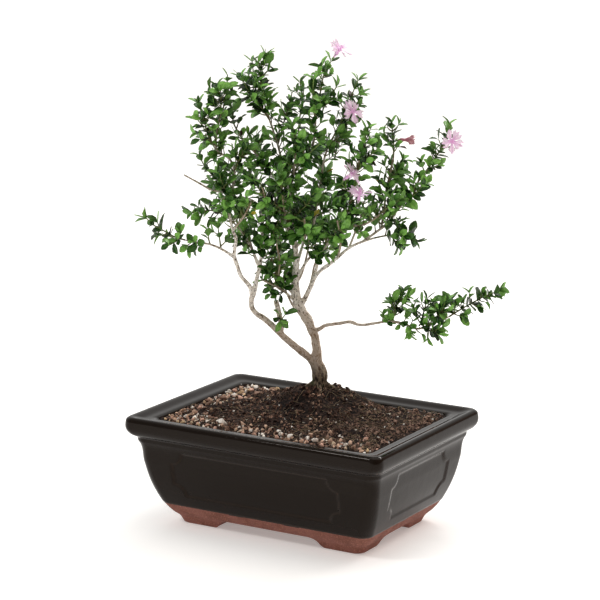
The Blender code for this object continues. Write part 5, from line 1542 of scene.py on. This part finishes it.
def surface_roots():
    """The root swellings that run from the trunk's foot into the soil."""
    roots = []
    for turn, reach, thick in SURFACE_ROOTS:
        heading = math.radians(turn)
        points = []
        for share, rise in ROOT_RISES:
            out = (2 + share * reach) * MM
            x = MOUND_PLACE.x + out * math.cos(heading + 0.35 * share)
            y = MOUND_PLACE.y + out * math.sin(heading + 0.35 * share)
            points.append((x, y, soil_height(x, y) + rise * MM, thick / 2 * (1 - 0.5 * share) * MM))
        roots.append(smooth_route(np.array(points), ROOT_STEP))
    return roots


def knotted(route, seed):
    """A route whose radius swells and shrinks a little, as grown wood does."""
    route = route.copy()
    along = np.concatenate([[0], np.cumsum(np.linalg.norm(np.diff(route[:, :3], axis=0), axis=1))])
    swell = [noise.noise(Vector((place / KNOT_SPACING, seed, 0))) for place in along]
    route[:, 3] *= WOOD_FULLNESS + KNOT_SWELL * np.array(swell)
    return route


def bark_lines(points, routes):
    """For each point the way round and along its limb, as a vector, and the limb's radius there."""
    spans = np.vstack([tube_spans(route) for route in routes])
    starts, ways = spans[:, 0, :3], spans[:, 1, :3] - spans[:, 0, :3]
    lengths = np.linalg.norm(ways, axis=1)
    offsets = []
    for order, route in enumerate(routes):
        steps = np.linalg.norm(np.diff(route[:, :3], axis=0), axis=1)
        offsets.append(LIMB_APART * order * MM + np.concatenate([[0], np.cumsum(steps)[:-1]]))
    offsets = np.concatenate(offsets)
    flow, girth = np.zeros((len(points), 3)), np.zeros(len(points))
    for first in range(0, len(points), BLOCK_SIZE):
        block = points[first:first + BLOCK_SIZE]
        best = np.full(len(block), 1e9)
        for number in range(len(spans)):
            offset = block - starts[number]
            share = np.clip(offset @ ways[number] / lengths[number] ** 2, 0, 1)
            away = offset - share[:, None] * ways[number]
            radius = spans[number, 0, 3] + share * (spans[number, 1, 3] - spans[number, 0, 3])
            beyond = np.linalg.norm(away, axis=1) - radius
            closer = beyond < best
            best[closer] = beyond[closer]
            along = offsets[number] + share * lengths[number]
            rows = first + np.flatnonzero(closer)
            flow[rows] = np.column_stack([away[:, 0], away[:, 1], BARK_STRETCH * along])[closer]
            girth[rows] = radius[closer]
    return flow, girth


def wood_tubes(name, routes, sides, tree, bark):
    """Closed round tubes along the routes, all of one finish."""
    thing = add_object(name, path_mesh(name, routes, [np.zeros(len(route)) for route in routes]))
    return grown(thing, tree, {"Stem Sides": sides, "Stem Finish": bark, "Blade Finish": bark})


def build_trunk(settings, tree):
    """The trunk and its bare wood as one grown piece, with surface roots, filled forks and flaking bark."""
    routes = [knotted(route, order) for order, route in enumerate(wood_routes().values())]
    routes += surface_roots()
    bark = bark_finish(settings)
    stout = [route for route in routes if route[:, 3].max() >= TWIG_RADIUS]
    slender = [route for route in routes if route[:, 3].max() < TWIG_RADIUS]
    thing = wood_tubes("serissa_trunk", stout, STOUT_SIDES, tree, bark)
    twigs = wood_tubes("twigs", slender, SLENDER_SIDES, tree, bark)
    modified(thing, "REMESH", mode="VOXEL", voxel_size=settings.wood_grain, use_smooth_shade=True)
    modified(thing, "SMOOTH", factor=0.5, iterations=4)
    shape = bmesh.new()
    shape.from_mesh(thing.data)
    shape.from_mesh(twigs.data)
    shape.to_mesh(thing.data)
    shape.free()
    bpy.data.objects.remove(twigs, do_unlink=True)
    places = np.array([vertex.co for vertex in thing.data.vertices])
    flow, girth = bark_lines(places, routes)
    for label, numbers in (("flow", flow), ("girth", girth)):
        kind, part = ("FLOAT_VECTOR", "vector") if numbers.ndim == 2 else ("FLOAT", "value")
        thing.data.attributes.new(label, kind, "POINT").data.foreach_set(part, numbers.ravel())
    grown(thing, bark_tree(), {"Depth": settings.bark_depth, "Ridge Width": 1.6 * MM, "Finish": bark})
    thing.data.shade_smooth()
    return settled(thing, "bark", "trunk")


def leaf_surface(fold, curl, twist):
    """The middle surface of a leaf one unit long: broadest past its middle, folded and bent back."""
    def surface(u, v):
        half = 0.5 * max(0, math.sin(math.pi * u**1.15)) ** 0.66
        side = v * half
        rise = fold * abs(side) - curl * u * u + twist * side * u + 0.015 * math.sin(8 * u) * v
        return u - 0.25 * curl * u * u, side, rise
    return surface


def leaf_shapes():
    """Leaf shapes that differ in their fold, their bend and their twist."""
    meshes = [
        blade_mesh(f"leaf_shape_{order}", rows=5, columns=4, surface=leaf_surface(*form), thickness=0.05)
        for order, form in enumerate(LEAF_FORMS)
    ]
    return hide_shapes("leaf_shape", meshes)


def petal_surface(ruffle, curl):
    """The middle surface of a three-toothed petal one unit long, with a ruffled end."""
    def surface(u, v):
        half = 0.07 + 0.36 * math.sin(min(1, u / 0.72) * math.pi / 2) ** 1.5
        teeth = 0.84 + 0.16 * math.cos(3 * math.pi * v * 0.97) * (1 - 0.25 * abs(v)) - 0.16 * v * v
        wave = ruffle * math.sin(7 * v) * u * u
        rise = wave + curl * u * u * (1 - 0.5 * v * v) - 0.10 * abs(v) * half
        return u * (1 + (teeth - 1) * u * u), v * half, rise
    return surface


def sepal_surface(u, v):
    """The middle surface of a small pointed sepal."""
    return u, v * 0.5 * max(0, math.sin(math.pi * u**0.6)) ** 0.9, 0.15 * u * u


def bloom_shapes(curl):
    """Petal shapes with unlike ruffles, then the sepal."""
    forms = ((0.08, curl), (-0.1, 0.5 * curl), (0.12, 1.6 * curl))
    meshes = [
        blade_mesh(f"petal_{order}", rows=8, columns=10, surface=petal_surface(*form), thickness=0.03)
        for order, form in enumerate(forms)
    ]
    sepal = blade_mesh("petal_3_sepal", rows=4, columns=2, surface=sepal_surface, thickness=0.1)
    meshes.append(sepal)
    return hide_shapes("bloom_shape", meshes)


def leaf_hue(node, draw):
    """How young a leaf looks: bright at the tip and darker from node to node below it, partly with age and
    partly as painted shade.
    """
    usual = NODE_HUES[min(node, len(NODE_HUES) - 1)]
    return min(1, max(0, usual + draw.uniform(-HUE_SPREAD, HUE_SPREAD)))


def cell_of(point):
    """The cell that a point lies in."""
    return tuple(int(math.floor(value / LEAF_ROOM)) for value in point)


def take_room(points, taken):
    """Note the points in their cells."""
    for point in points:
        taken.setdefault(cell_of(point), []).append(point)


def is_crowded(points, taken):
    """Whether any point lies nearer than the room that leaves keep to a point that is taken."""
    for point in points:
        x, y, z = cell_of(point)
        for cell in itertools.product((x - 1, x, x + 1), (y - 1, y, y + 1), (z - 1, z, z + 1)):
            for other in taken.get(cell, ()):
                if np.abs(other - point).max() < LEAF_ROOM and np.linalg.norm(other - point) < LEAF_ROOM:
                    return True
    return False


def roomy_leaf(route, place, turn, opening, size, draw, room):
    """A leaf at a place on a route, if one of a few tries has room."""
    tubes, taken = room
    for attempt in range(LEAF_TRIES):
        spread = 0.2 + 0.25 * attempt
        tried = turn + draw.uniform(-spread, spread), opening + draw.uniform(-0.25, 0.25)
        foot, along, side, length, breadth = leaf_at(route, place, *tried, draw)
        leaf = foot, along, side, length * size, breadth * size
        points = leaf_samples(leaf)
        if is_crowded(points, taken) or bare_length(points, tubes, STEM_ROOM).min() < 0:
            continue
        take_room(points, taken)
        return leaf
    return None


def node_leaves(route, place, node, size, draw, room):
    """The opposite pair at a node of a route, with the small young leaves that sit above each."""
    found = []
    for half in (0, 1):
        turn = math.pi / 2 * node + math.pi * half
        opening = math.radians(min(32 + 14 * node, 68))
        own_size = size * draw.uniform(*PAIR_SIZES)
        found.append(roomy_leaf(route, place, turn, opening, own_size, draw, room))
        for young in range(2):
            aside = turn + draw.uniform(-1.2, 1.2)
            lesser = size * draw.uniform(*YOUNG_SIZES)
            found.append(roomy_leaf(route, place, aside, 0.75 * opening, lesser, draw, room))
    return [(leaf, node) for leaf in found if leaf]


def route_length(route):
    """How long a route is."""
    return np.linalg.norm(np.diff(route[:, :3], axis=0), axis=1).sum()


def clothe(route, spacing, size, draw, room):
    """Leaves at nodes a spacing apart, from the route's tip most of the way down."""
    nodes = max(1, round(LEAFED_SHARE * route_length(route) / spacing))
    found = []
    for node in range(nodes):
        place = (len(route) - 1) * (1 - LEAFED_SHARE * node / nodes) - 0.04
        found += node_leaves(route, max(0, place), node, size, draw, room)
    return found


def spur_route(base, onward, draw, length):
    """A short side shoot that leaves its parent at a slant and turns up."""
    first, second = across_axes(onward)
    turn = draw.uniform(0, 2 * math.pi)
    outward = first * math.cos(turn) + second * math.sin(turn)
    way = (Vector(onward).normalized() * 0.4 + outward + Vector((0, 0, 0.25))).normalized()
    middle = Vector(base) + way * length * 0.5
    tip = middle + (way + Vector((0, 0, 0.35))).normalized() * length * 0.5
    points = [(*place, radius) for place, radius in zip((base, middle, tip), SPUR_RADII)]
    return smooth_route(np.array(points), WOOD_STEP)


def add_spurs(group, parent, spacing, reach, draw, room):
    """Short leafy side shoots up to a share of a parent's length, put in a group of stems and leaves."""
    stems, leaves = group
    for number in range(round(route_length(parent) / spacing)):
        share = draw.uniform(0.02, reach)
        place = share * (len(parent) - 1)
        index = int(place)
        base = parent[index] + (parent[index + 1] - parent[index]) * (place - index)
        onward = parent[index + 1, :3] - parent[index, :3]
        spur = spur_route(base[:3], onward, draw, (1 - 0.45 * share) * draw.uniform(*SPUR_LENGTH))
        found = clothe(spur, SPUR_NODE_SPACING, USUAL_LEAF_SIZE, draw, room)
        if len(found) > 1:
            stems.append(spur)
            leaves += found


def leafy_wood(name, route):
    """The stretch of a limb that carries side shoots: what is up in the crown and isn't bare."""
    across, up = eye_view(route[:, :3])
    least_across, least_up = LEAFY_FROM.get(name, CROWN_FROM)
    return route[(up > least_up * MM) & (across > least_across * MM)]


def eye_view(points):
    """How far across and up from the sight line's middle each point is seen, at the middle's distance."""
    offsets = np.asarray(points) - np.array(EYE_TARGET)
    spread = EYE_DISTANCE / (EYE_DISTANCE - offsets @ np.array(BACKWARDS))
    return offsets @ np.array(RIGHT) * spread, offsets @ np.array(UPWARDS) * spread


def air_span(bloom):
    """The free air that a bloom opens into, towards the light that it is seen by, as one tube."""
    route, petals = bloom
    mouth = Vector(route[-1, :3])
    radius = 0.75 * petals[0][3]
    end = mouth - AIR_REACH * AWAY + Vector((0, 0, AIR_RISE))
    return np.array([[(*mouth, radius), (*end, radius)]])


def sprout(settings):
    """Every shoot with its stems and leaves: the solid's own, then more at nodes and on short side shoots."""
    wood = {name: smooth_route(metres(points), LIMB_STEP) for name, points in {**WOOD, **TWIGS}.items()}
    solid = {
        name: tube_spans(smooth_route(metres(points), SOLID_WOOD_STEP)) for name, points in WOOD.items()
    }
    for name in ("trunk", "left_limb"):
        solid[name] = tube_spans(wood[name])
    solid = np.vstack(list(solid.values()))
    shoots, groups = {}, {}
    for name, points in SHOOTS.items():
        rough = smooth_route(metres(tapered(points, SHOOT_THICKNESS)), SOLID_SHOOT_STEP)
        shoots[name] = clear_start(rough, solid)
        stem = smooth_route(metres(tapered(points, STEM_TAPER)), STEM_STEP)
        stem[0, :3] = nearest_centre(stem[0, :3], solid)
        groups[name] = [stem], []
    blooms = open_blooms(shoots, solid)
    bloom_room = np.vstack([bloom_spans(bloom) for bloom in blooms.values()])
    open_air = np.vstack([air_span(bloom) for bloom in blooms.values()])
    draw = random.Random(settings.seed)
    taken = {}
    for name, found in grow_leaves(shoots, np.vstack([solid, bloom_room])).items():
        for order, leaf in enumerate(found):
            groups[name][1].append((leaf, order // 2))
            take_room(leaf_samples(leaf), taken)
    spans = [tube_spans(route) for route in (*shoots.values(), *wood.values())]
    room = np.vstack([bloom_room, open_air, *spans]), taken
    for name, shoot in shoots.items():
        size = LEAF_SIZES.get(name, USUAL_LEAF_SIZE)
        apart = AIRY_SPACING if name in AIRY_SHOOTS else 1
        groups[name][1].extend(clothe(shoot, apart * settings.pair_spacing, size, draw, room))
        add_spurs(groups[name], shoot, apart * settings.spur_spacing, SHOOT_SPUR_REACH, draw, room)
    for limb, route in wood.items():
        leafy = leafy_wood(limb, route)
        if len(leafy) > 1:
            apart = AIRY_SPACING if limb in AIRY_SHOOTS else 1
            nearest = min(shoots, key=lambda name: np.linalg.norm(shoots[name][0, :3] - leafy[-1, :3]))
            spacing = apart * settings.limb_spur_spacing
            add_spurs(groups[nearest], leafy, spacing, LIMB_SPUR_REACH, draw, room)
    return groups, blooms


def turned_leaves(leaves, hues):
    """Give the few leaves that the photograph shows turned their red or yellow hue."""
    feet = np.array([leaf[0] for leaf, order in leaves])
    across, up = eye_view(feet)
    for red_across, red_up, hue in TURNED_LEAVES:
        nearest = np.hypot(across - red_across * MM, up - red_up * MM).argmin()
        if math.hypot(across[nearest] - red_across * MM, up[nearest] - red_up * MM) < 5 * MM:
            hues[nearest] = hue
    return hues


def build_shoots(settings, tree, groups):
    """Every leafy shoot as its own piece, standing for its solid."""
    shapes = leaf_shapes()
    leaf, stem = leaf_finish(settings), stem_finish()
    for order, (name, (stems, leaves)) in enumerate(groups.items()):
        draw = random.Random(order)
        hues = turned_leaves(leaves, [leaf_hue(node, draw) for blade, node in leaves])
        blades = []
        for ((foot, along, side, length, breadth), node), hue in zip(leaves, hues):
            breadth *= LEAF_FULLNESS
            blades.append((foot, along, side, length, breadth, draw.randrange(len(LEAF_FORMS)), hue))
        ages = [np.linspace(0.1, 1, len(route)) for route in stems]
        thing = add_object("leafy_shoot_" + name, path_mesh("leafy_shoot_" + name, stems, ages))
        values = {"Shapes": shapes, "Stem Sides": 7, "Stem Finish": stem, "Blade Finish": leaf}
        settled(sprouted(thing, blades, tree, values), "leaf", "spray_" + name)


def bloom_parts(name, route, petals):
    """A bloom's stems and blades: its stalk and tube, its stamens, its petals and its sepals."""
    draw = random.Random(name + "_parts")
    mouth = Vector(route[-1, :3])
    axis = Vector(route[-1, :3] - route[1, :3]).normalized()
    first, second = across_axes(axis)
    fine = smooth_route(route, 0.8 * MM)
    stems, hues = [fine], [np.clip(1.6 - 4 * np.linspace(0, 1, len(fine)), 0, 1)]
    blades = []
    for order, (base, along, side, spread) in enumerate(petals):
        length = spread * draw.uniform(0.95, 1.08)
        side = Matrix.Rotation(draw.uniform(-0.55, 0.55), 3, along) @ side
        blades.append((base, along, side, length, length, order % 3, 0.0))
        turn = 2 * math.pi * (order + 0.5) / len(petals)
        outward = first * math.cos(turn) + second * math.sin(turn)
        tip = mouth + axis * 2.6 * MM + outward * 1.1 * MM
        stamen = [(*(mouth - axis * MM), 0.1 * MM), (*mouth.lerp(tip, 0.6), 0.1 * MM)]
        stamen += [(*mouth.lerp(tip, 0.8), 0.28 * MM), (*tip, 0.16 * MM)]
        stems.append(np.array(stamen))
        hues.append(np.array([0, 0, 0.35, 0.35]))
        foot = Vector(route[1, :3]) + outward * 0.5 * MM
        leaning = (axis * 0.8 + outward * 0.6).normalized()
        blades.append((foot, leaning, axis.cross(outward).normalized(), 2.2 * MM, 0.8 * MM, 3, 1.0))
    return stems, hues, blades


def build_blooms(settings, tree, blooms):
    """Each bloom as its own piece, standing for its solid."""
    fresh = petal_finish("silky_lilac_white_petal", "e6b4de", settings.petal_colour, "d48fcb")
    faded = petal_finish("withered_rose_petal", "b0687a", settings.faded_colour, "7e3f4c")
    shapes = {"open": bloom_shapes(-0.10), "faded": bloom_shapes(0.12)}
    for name, (route, petals) in blooms.items():
        kind, finish = ("faded", faded) if name in BUDS else ("open", fresh)
        stems, hues, blades = bloom_parts(name, route, petals)
        thing = add_object("flower_" + name, path_mesh("flower_" + name, stems, hues))
        values = {"Shapes": shapes[kind], "Stem Sides": 10, "Stem Finish": finish, "Blade Finish": finish}
        settled(sprouted(thing, blades, tree, values), "faded_petal" if name in BUDS else "petal", name)


def finish_screens():
    """Give the two drain screens their plastic."""
    plastic = screen_finish()
    for name in ("drain_screen_left", "drain_screen_right"):
        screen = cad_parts[name]
        for place in screen.material_slots:
            place.link = "OBJECT"
            place.material = plastic


def place_camera():
    """The camera that sees the tree as the photograph does."""
    data = bpy.data.cameras.new("eye")
    data.sensor_width = SENSOR_WIDTH
    data.lens = SENSOR_WIDTH * FOCAL_PIXELS / FRAME_PIXELS
    camera = add_object("eye", data)
    camera.location = POT_CENTRE + EYE_TARGET + EYE_DISTANCE * BACKWARDS
    camera.rotation_euler = (-BACKWARDS).to_track_quat("-Z", "Y").to_euler()
    bpy.context.scene.camera = camera


def hang_light(name, place, target, size, power):
    """A soft light, its width and height given, aimed at a point."""
    data = bpy.data.lights.new(name, "AREA")
    data.shape = "RECTANGLE"
    data.size, data.size_y = size
    data.energy = power
    light = add_object(name, data)
    light.location = place
    light.rotation_euler = (Vector(target) - Vector(place)).to_track_quat("-Z", "Y").to_euler()


def set_stage(settings):
    """The pale floor, the even white surroundings, the soft lights and the camera."""
    shape = bmesh.new()
    bmesh.ops.create_circle(shape, cap_ends=True, segments=96, radius=FLOOR_RADIUS)
    mesh = mesh_of("paper_floor", shape)
    mesh.materials.append(paper_finish(settings))
    add_object("paper_floor", mesh)
    world = bpy.data.worlds.new("white_surroundings")
    world.use_nodes = True
    tree = world.node_tree
    backdrop = tree.nodes["Background"]
    ways = add_node(tree, "ShaderNodeTexCoord").outputs["Generated"]
    ways = add_node(tree, "ShaderNodeSeparateXYZ", [ways]).outputs
    span = (ways[1], -0.7, 0.2, settings.dim_strength, settings.surround_strength)
    strength = add_node(tree, "ShaderNodeMapRange", span, interpolation_type="SMOOTHSTEP")
    tree.links.new(strength.outputs[0], backdrop.inputs["Strength"])
    colour = tinted(tree, shade("fdfcfa"), WARM_SIDE, ways[0], 0, 1, 0.1, 0.45)
    tree.links.new(colour, backdrop.inputs["Color"])
    bpy.context.scene.world = world
    hang_light(*BACK_STRIP, settings.strip_power)
    hang_light(*KEY_LIGHT, settings.key_power)
    data = bpy.data.lights.new("skylight", "SUN")
    data.energy = settings.sky_power
    data.angle = SKY_SPREAD
    add_object("skylight", data).rotation_euler = SKY_TURN
    place_camera()
    bpy.context.scene.view_settings.view_transform = "Standard"


class SERISSA_PG_pot(bpy.types.PropertyGroup):
    """The pot's finish"""

    glaze_colour: bpy.props.FloatVectorProperty(
        name="Glaze", description="Colour of the black glaze", subtype="COLOR", size=3, min=0, max=1,
        default=linear("17110d"),
    )
    clay_colour: bpy.props.FloatVectorProperty(
        name="Clay", description="Colour of the bare red clay", subtype="COLOR", size=3, min=0, max=1,
        default=linear("814e42"),
    )
    glaze_roughness: bpy.props.FloatProperty(
        name="Glaze Roughness", description="How dull the glaze is at its smoothest", min=0, max=1,
        default=0.04,
    )
    panel_relief: bpy.props.FloatProperty(
        name="Panel Relief", description="How deep the framed panels are pressed into the walls",
        subtype="DISTANCE", unit="LENGTH", default=0.9 * MM, precision=4,
    )


class SERISSA_PG_soil(bpy.types.PropertyGroup):
    """The soil and what lies on it"""

    peat_colour: bpy.props.FloatVectorProperty(
        name="Peat", description="Colour of the damp peat", subtype="COLOR", size=3, min=0, max=1,
        default=linear("33251f"),
    )
    gravel_density: bpy.props.FloatProperty(
        name="Gravel", description="Most gravel chips on a square metre", default=110000, min=0,
    )
    grit_density: bpy.props.FloatProperty(
        name="Grit", description="Most grains of white grit on a square metre", default=60000, min=0,
    )
    crumb_density: bpy.props.FloatProperty(
        name="Crumbs", description="Most peat crumbs on a square metre", default=260000, min=0,
    )
    fibre_count: bpy.props.IntProperty(
        name="Fibres", description="How many root fibres lie on the soil", default=340, min=1,
    )


class SERISSA_PG_wood(bpy.types.PropertyGroup):
    """The trunk and its bark"""

    bark_colour: bpy.props.FloatVectorProperty(
        name="Bark", description="Colour of the pale bark", subtype="COLOR", size=3, min=0, max=1,
        default=linear("f3ede5"),
    )
    bark_shade: bpy.props.FloatVectorProperty(
        name="Bark Shade", description="Colour of the darker patches", subtype="COLOR", size=3, min=0, max=1,
        default=linear("e0d6c9"),
    )
    bark_depth: bpy.props.FloatProperty(
        name="Bark Depth", description="Height of the bark's ridges as a share of the limb's radius",
        default=0.35, min=0, max=1,
    )
    wood_grain: bpy.props.FloatProperty(
        name="Wood Grain", description="Size of the cells that the wood is fused in", subtype="DISTANCE",
        unit="LENGTH", default=0.48 * MM, precision=5,
    )


class SERISSA_PG_leaves(bpy.types.PropertyGroup):
    """The leaves and how thickly they grow"""

    # Partly painted shade: the oldest leaves, low on their shoots, are made near black.
    old_leaf_and_shade_colour: bpy.props.FloatVectorProperty(
        name="Old Leaves", description="Colour of the oldest leaves", subtype="COLOR", size=3, min=0, max=1,
        default=linear("051a01"),
    )
    mature_colour: bpy.props.FloatVectorProperty(
        name="Grown Leaves", description="Colour of grown leaves", subtype="COLOR", size=3, min=0, max=1,
        default=linear("1c490b"),
    )
    young_colour: bpy.props.FloatVectorProperty(
        name="Young Leaves", description="Colour of the youngest leaves", subtype="COLOR", size=3, min=0,
        max=1, default=linear("82b955"),
    )
    pair_spacing: bpy.props.FloatProperty(
        name="Node Spacing", description="Distance between the nodes that leaves grow at", subtype="DISTANCE",
        unit="LENGTH", default=4 * MM, precision=4,
    )
    spur_spacing: bpy.props.FloatProperty(
        name="Side Shoot Spacing", description="Distance between side shoots on the shoots",
        subtype="DISTANCE", unit="LENGTH", default=2.7 * MM, precision=4,
    )
    limb_spur_spacing: bpy.props.FloatProperty(
        name="Limb Shoot Spacing", description="Distance between side shoots on the limbs",
        subtype="DISTANCE", unit="LENGTH", default=1.8 * MM, precision=4,
    )
    seed: bpy.props.IntProperty(name="Seed", description="Start of the chance draw", default=4, min=0)


class SERISSA_PG_blooms(bpy.types.PropertyGroup):
    """The blooms' colours"""

    petal_colour: bpy.props.FloatVectorProperty(
        name="Petals", description="Colour of the open petals' ends", subtype="COLOR", size=3, min=0, max=1,
        default=linear("f6e0f2"),
    )
    faded_colour: bpy.props.FloatVectorProperty(
        name="Faded Petals", description="Colour of the withered petals' ends", subtype="COLOR", size=3,
        min=0, max=1, default=linear("c48a92"),
    )


class SERISSA_PG_stage(bpy.types.PropertyGroup):
    """The floor and the light"""

    paper_colour: bpy.props.FloatVectorProperty(
        name="Floor", description="Colour of the paper floor", subtype="COLOR", size=3, min=0, max=1,
        default=linear("f6f5f3"),
    )
    surround_strength: bpy.props.FloatProperty(
        name="Surroundings", description="Brightness of the white surroundings", default=0.85, min=0,
    )
    dim_strength: bpy.props.FloatProperty(
        name="Eye Side", description="Brightness of the surroundings on the eye's side", default=0.32, min=0,
    )
    strip_power: bpy.props.FloatProperty(
        name="Back Strip", description="Power of the strip light behind", subtype="POWER", unit="POWER",
        default=7,
    )
    sky_power: bpy.props.FloatProperty(
        name="Skylight", description="Strength of the soft light from above", default=1.2, min=0,
    )
    key_power: bpy.props.FloatProperty(
        name="Key Light", description="Power of the soft light from the front left", subtype="POWER",
        unit="POWER", default=13,
    )
    # Painted light: the floor glows by this much, which lifts the shadows on it.
    painted_floor_glow: bpy.props.FloatProperty(
        name="Floor Glow", description="How much light comes up through the paper", default=0.3, min=0,
    )


class SERISSA_OT_stage(bpy.types.Operator):
    """Lay the floor and set the lights and the camera"""

    bl_idname = "serissa.stage"
    bl_label = "Set the Stage"

    def execute(self, context):
        set_stage(context.scene.serissa_stage)
        return {"FINISHED"}


class SERISSA_OT_pot(bpy.types.Operator):
    """Build the glazed pot and finish its drain screens"""

    bl_idname = "serissa.pot"
    bl_label = "Build the Pot"

    def execute(self, context):
        build_pot(context.scene.serissa_pot)
        finish_screens()
        return {"FINISHED"}


class SERISSA_OT_soil(bpy.types.Operator):
    """Lay the soil and strew its gravel, grit, crumbs and fibres"""

    bl_idname = "serissa.soil"
    bl_label = "Lay the Soil"

    def execute(self, context):
        settings = context.scene.serissa_soil
        build_soil(settings)
        strew_soil(settings)
        build_fibres(settings, leafy_tree())
        return {"FINISHED"}


class SERISSA_OT_trunk(bpy.types.Operator):
    """Grow the trunk and every limb in one piece of wood"""

    bl_idname = "serissa.trunk"
    bl_label = "Grow the Trunk"

    def execute(self, context):
        build_trunk(context.scene.serissa_wood, leafy_tree())
        return {"FINISHED"}


class SERISSA_OT_crown(bpy.types.Operator):
    """Grow the leafy shoots and open the blooms"""

    bl_idname = "serissa.crown"
    bl_label = "Grow the Crown"

    def execute(self, context):
        settings = context.scene.serissa_leaves
        groups, blooms = sprout(settings)
        tree = leafy_tree()
        build_shoots(settings, tree, groups)
        build_blooms(context.scene.serissa_blooms, tree, blooms)
        return {"FINISHED"}


class SERISSA_PT_panel(bpy.types.Panel):
    """Lists the pieces and their settings"""

    bl_idname = "SERISSA_PT_panel"
    bl_label = "Serissa in a Glazed Pot"
    bl_space_type = "VIEW_3D"
    bl_region_type = "UI"
    bl_category = "Serissa"

    def draw(self, context):
        for operator, group in PANEL_ROWS:
            box = self.layout.box()
            box.operator(operator.bl_idname)
            for held in group:
                settings = getattr(context.scene, held)
                for name in settings.bl_rna.properties.keys():
                    if name not in ("rna_type", "name"):
                        box.prop(settings, name)


SETTINGS = {
    "serissa_stage": SERISSA_PG_stage, "serissa_pot": SERISSA_PG_pot, "serissa_soil": SERISSA_PG_soil,
    "serissa_wood": SERISSA_PG_wood, "serissa_leaves": SERISSA_PG_leaves, "serissa_blooms": SERISSA_PG_blooms,
}
PANEL_ROWS = (
    (SERISSA_OT_stage, ("serissa_stage",)), (SERISSA_OT_pot, ("serissa_pot",)),
    (SERISSA_OT_soil, ("serissa_soil",)), (SERISSA_OT_trunk, ("serissa_wood",)),
    (SERISSA_OT_crown, ("serissa_leaves", "serissa_blooms")),
)
CLASSES = (*SETTINGS.values(), *(operator for operator, group in PANEL_ROWS), SERISSA_PT_panel)


def register():
    """Register the classes and hang the settings on the scene."""
    for kind in CLASSES:
        bpy.utils.register_class(kind)
    for name, kind in SETTINGS.items():
        setattr(bpy.types.Scene, name, bpy.props.PointerProperty(type=kind))


def unregister():
    """Take the settings and the classes away again."""
    for name in SETTINGS:
        delattr(bpy.types.Scene, name)
    for kind in reversed(CLASSES):
        bpy.utils.unregister_class(kind)


def main():
    """Build everything."""
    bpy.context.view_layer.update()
    register()
    for operator in (
        bpy.ops.serissa.stage, bpy.ops.serissa.pot, bpy.ops.serissa.soil, bpy.ops.serissa.trunk,
        bpy.ops.serissa.crown,
    ):
        operator()


if __name__ == "__main__":
    main()
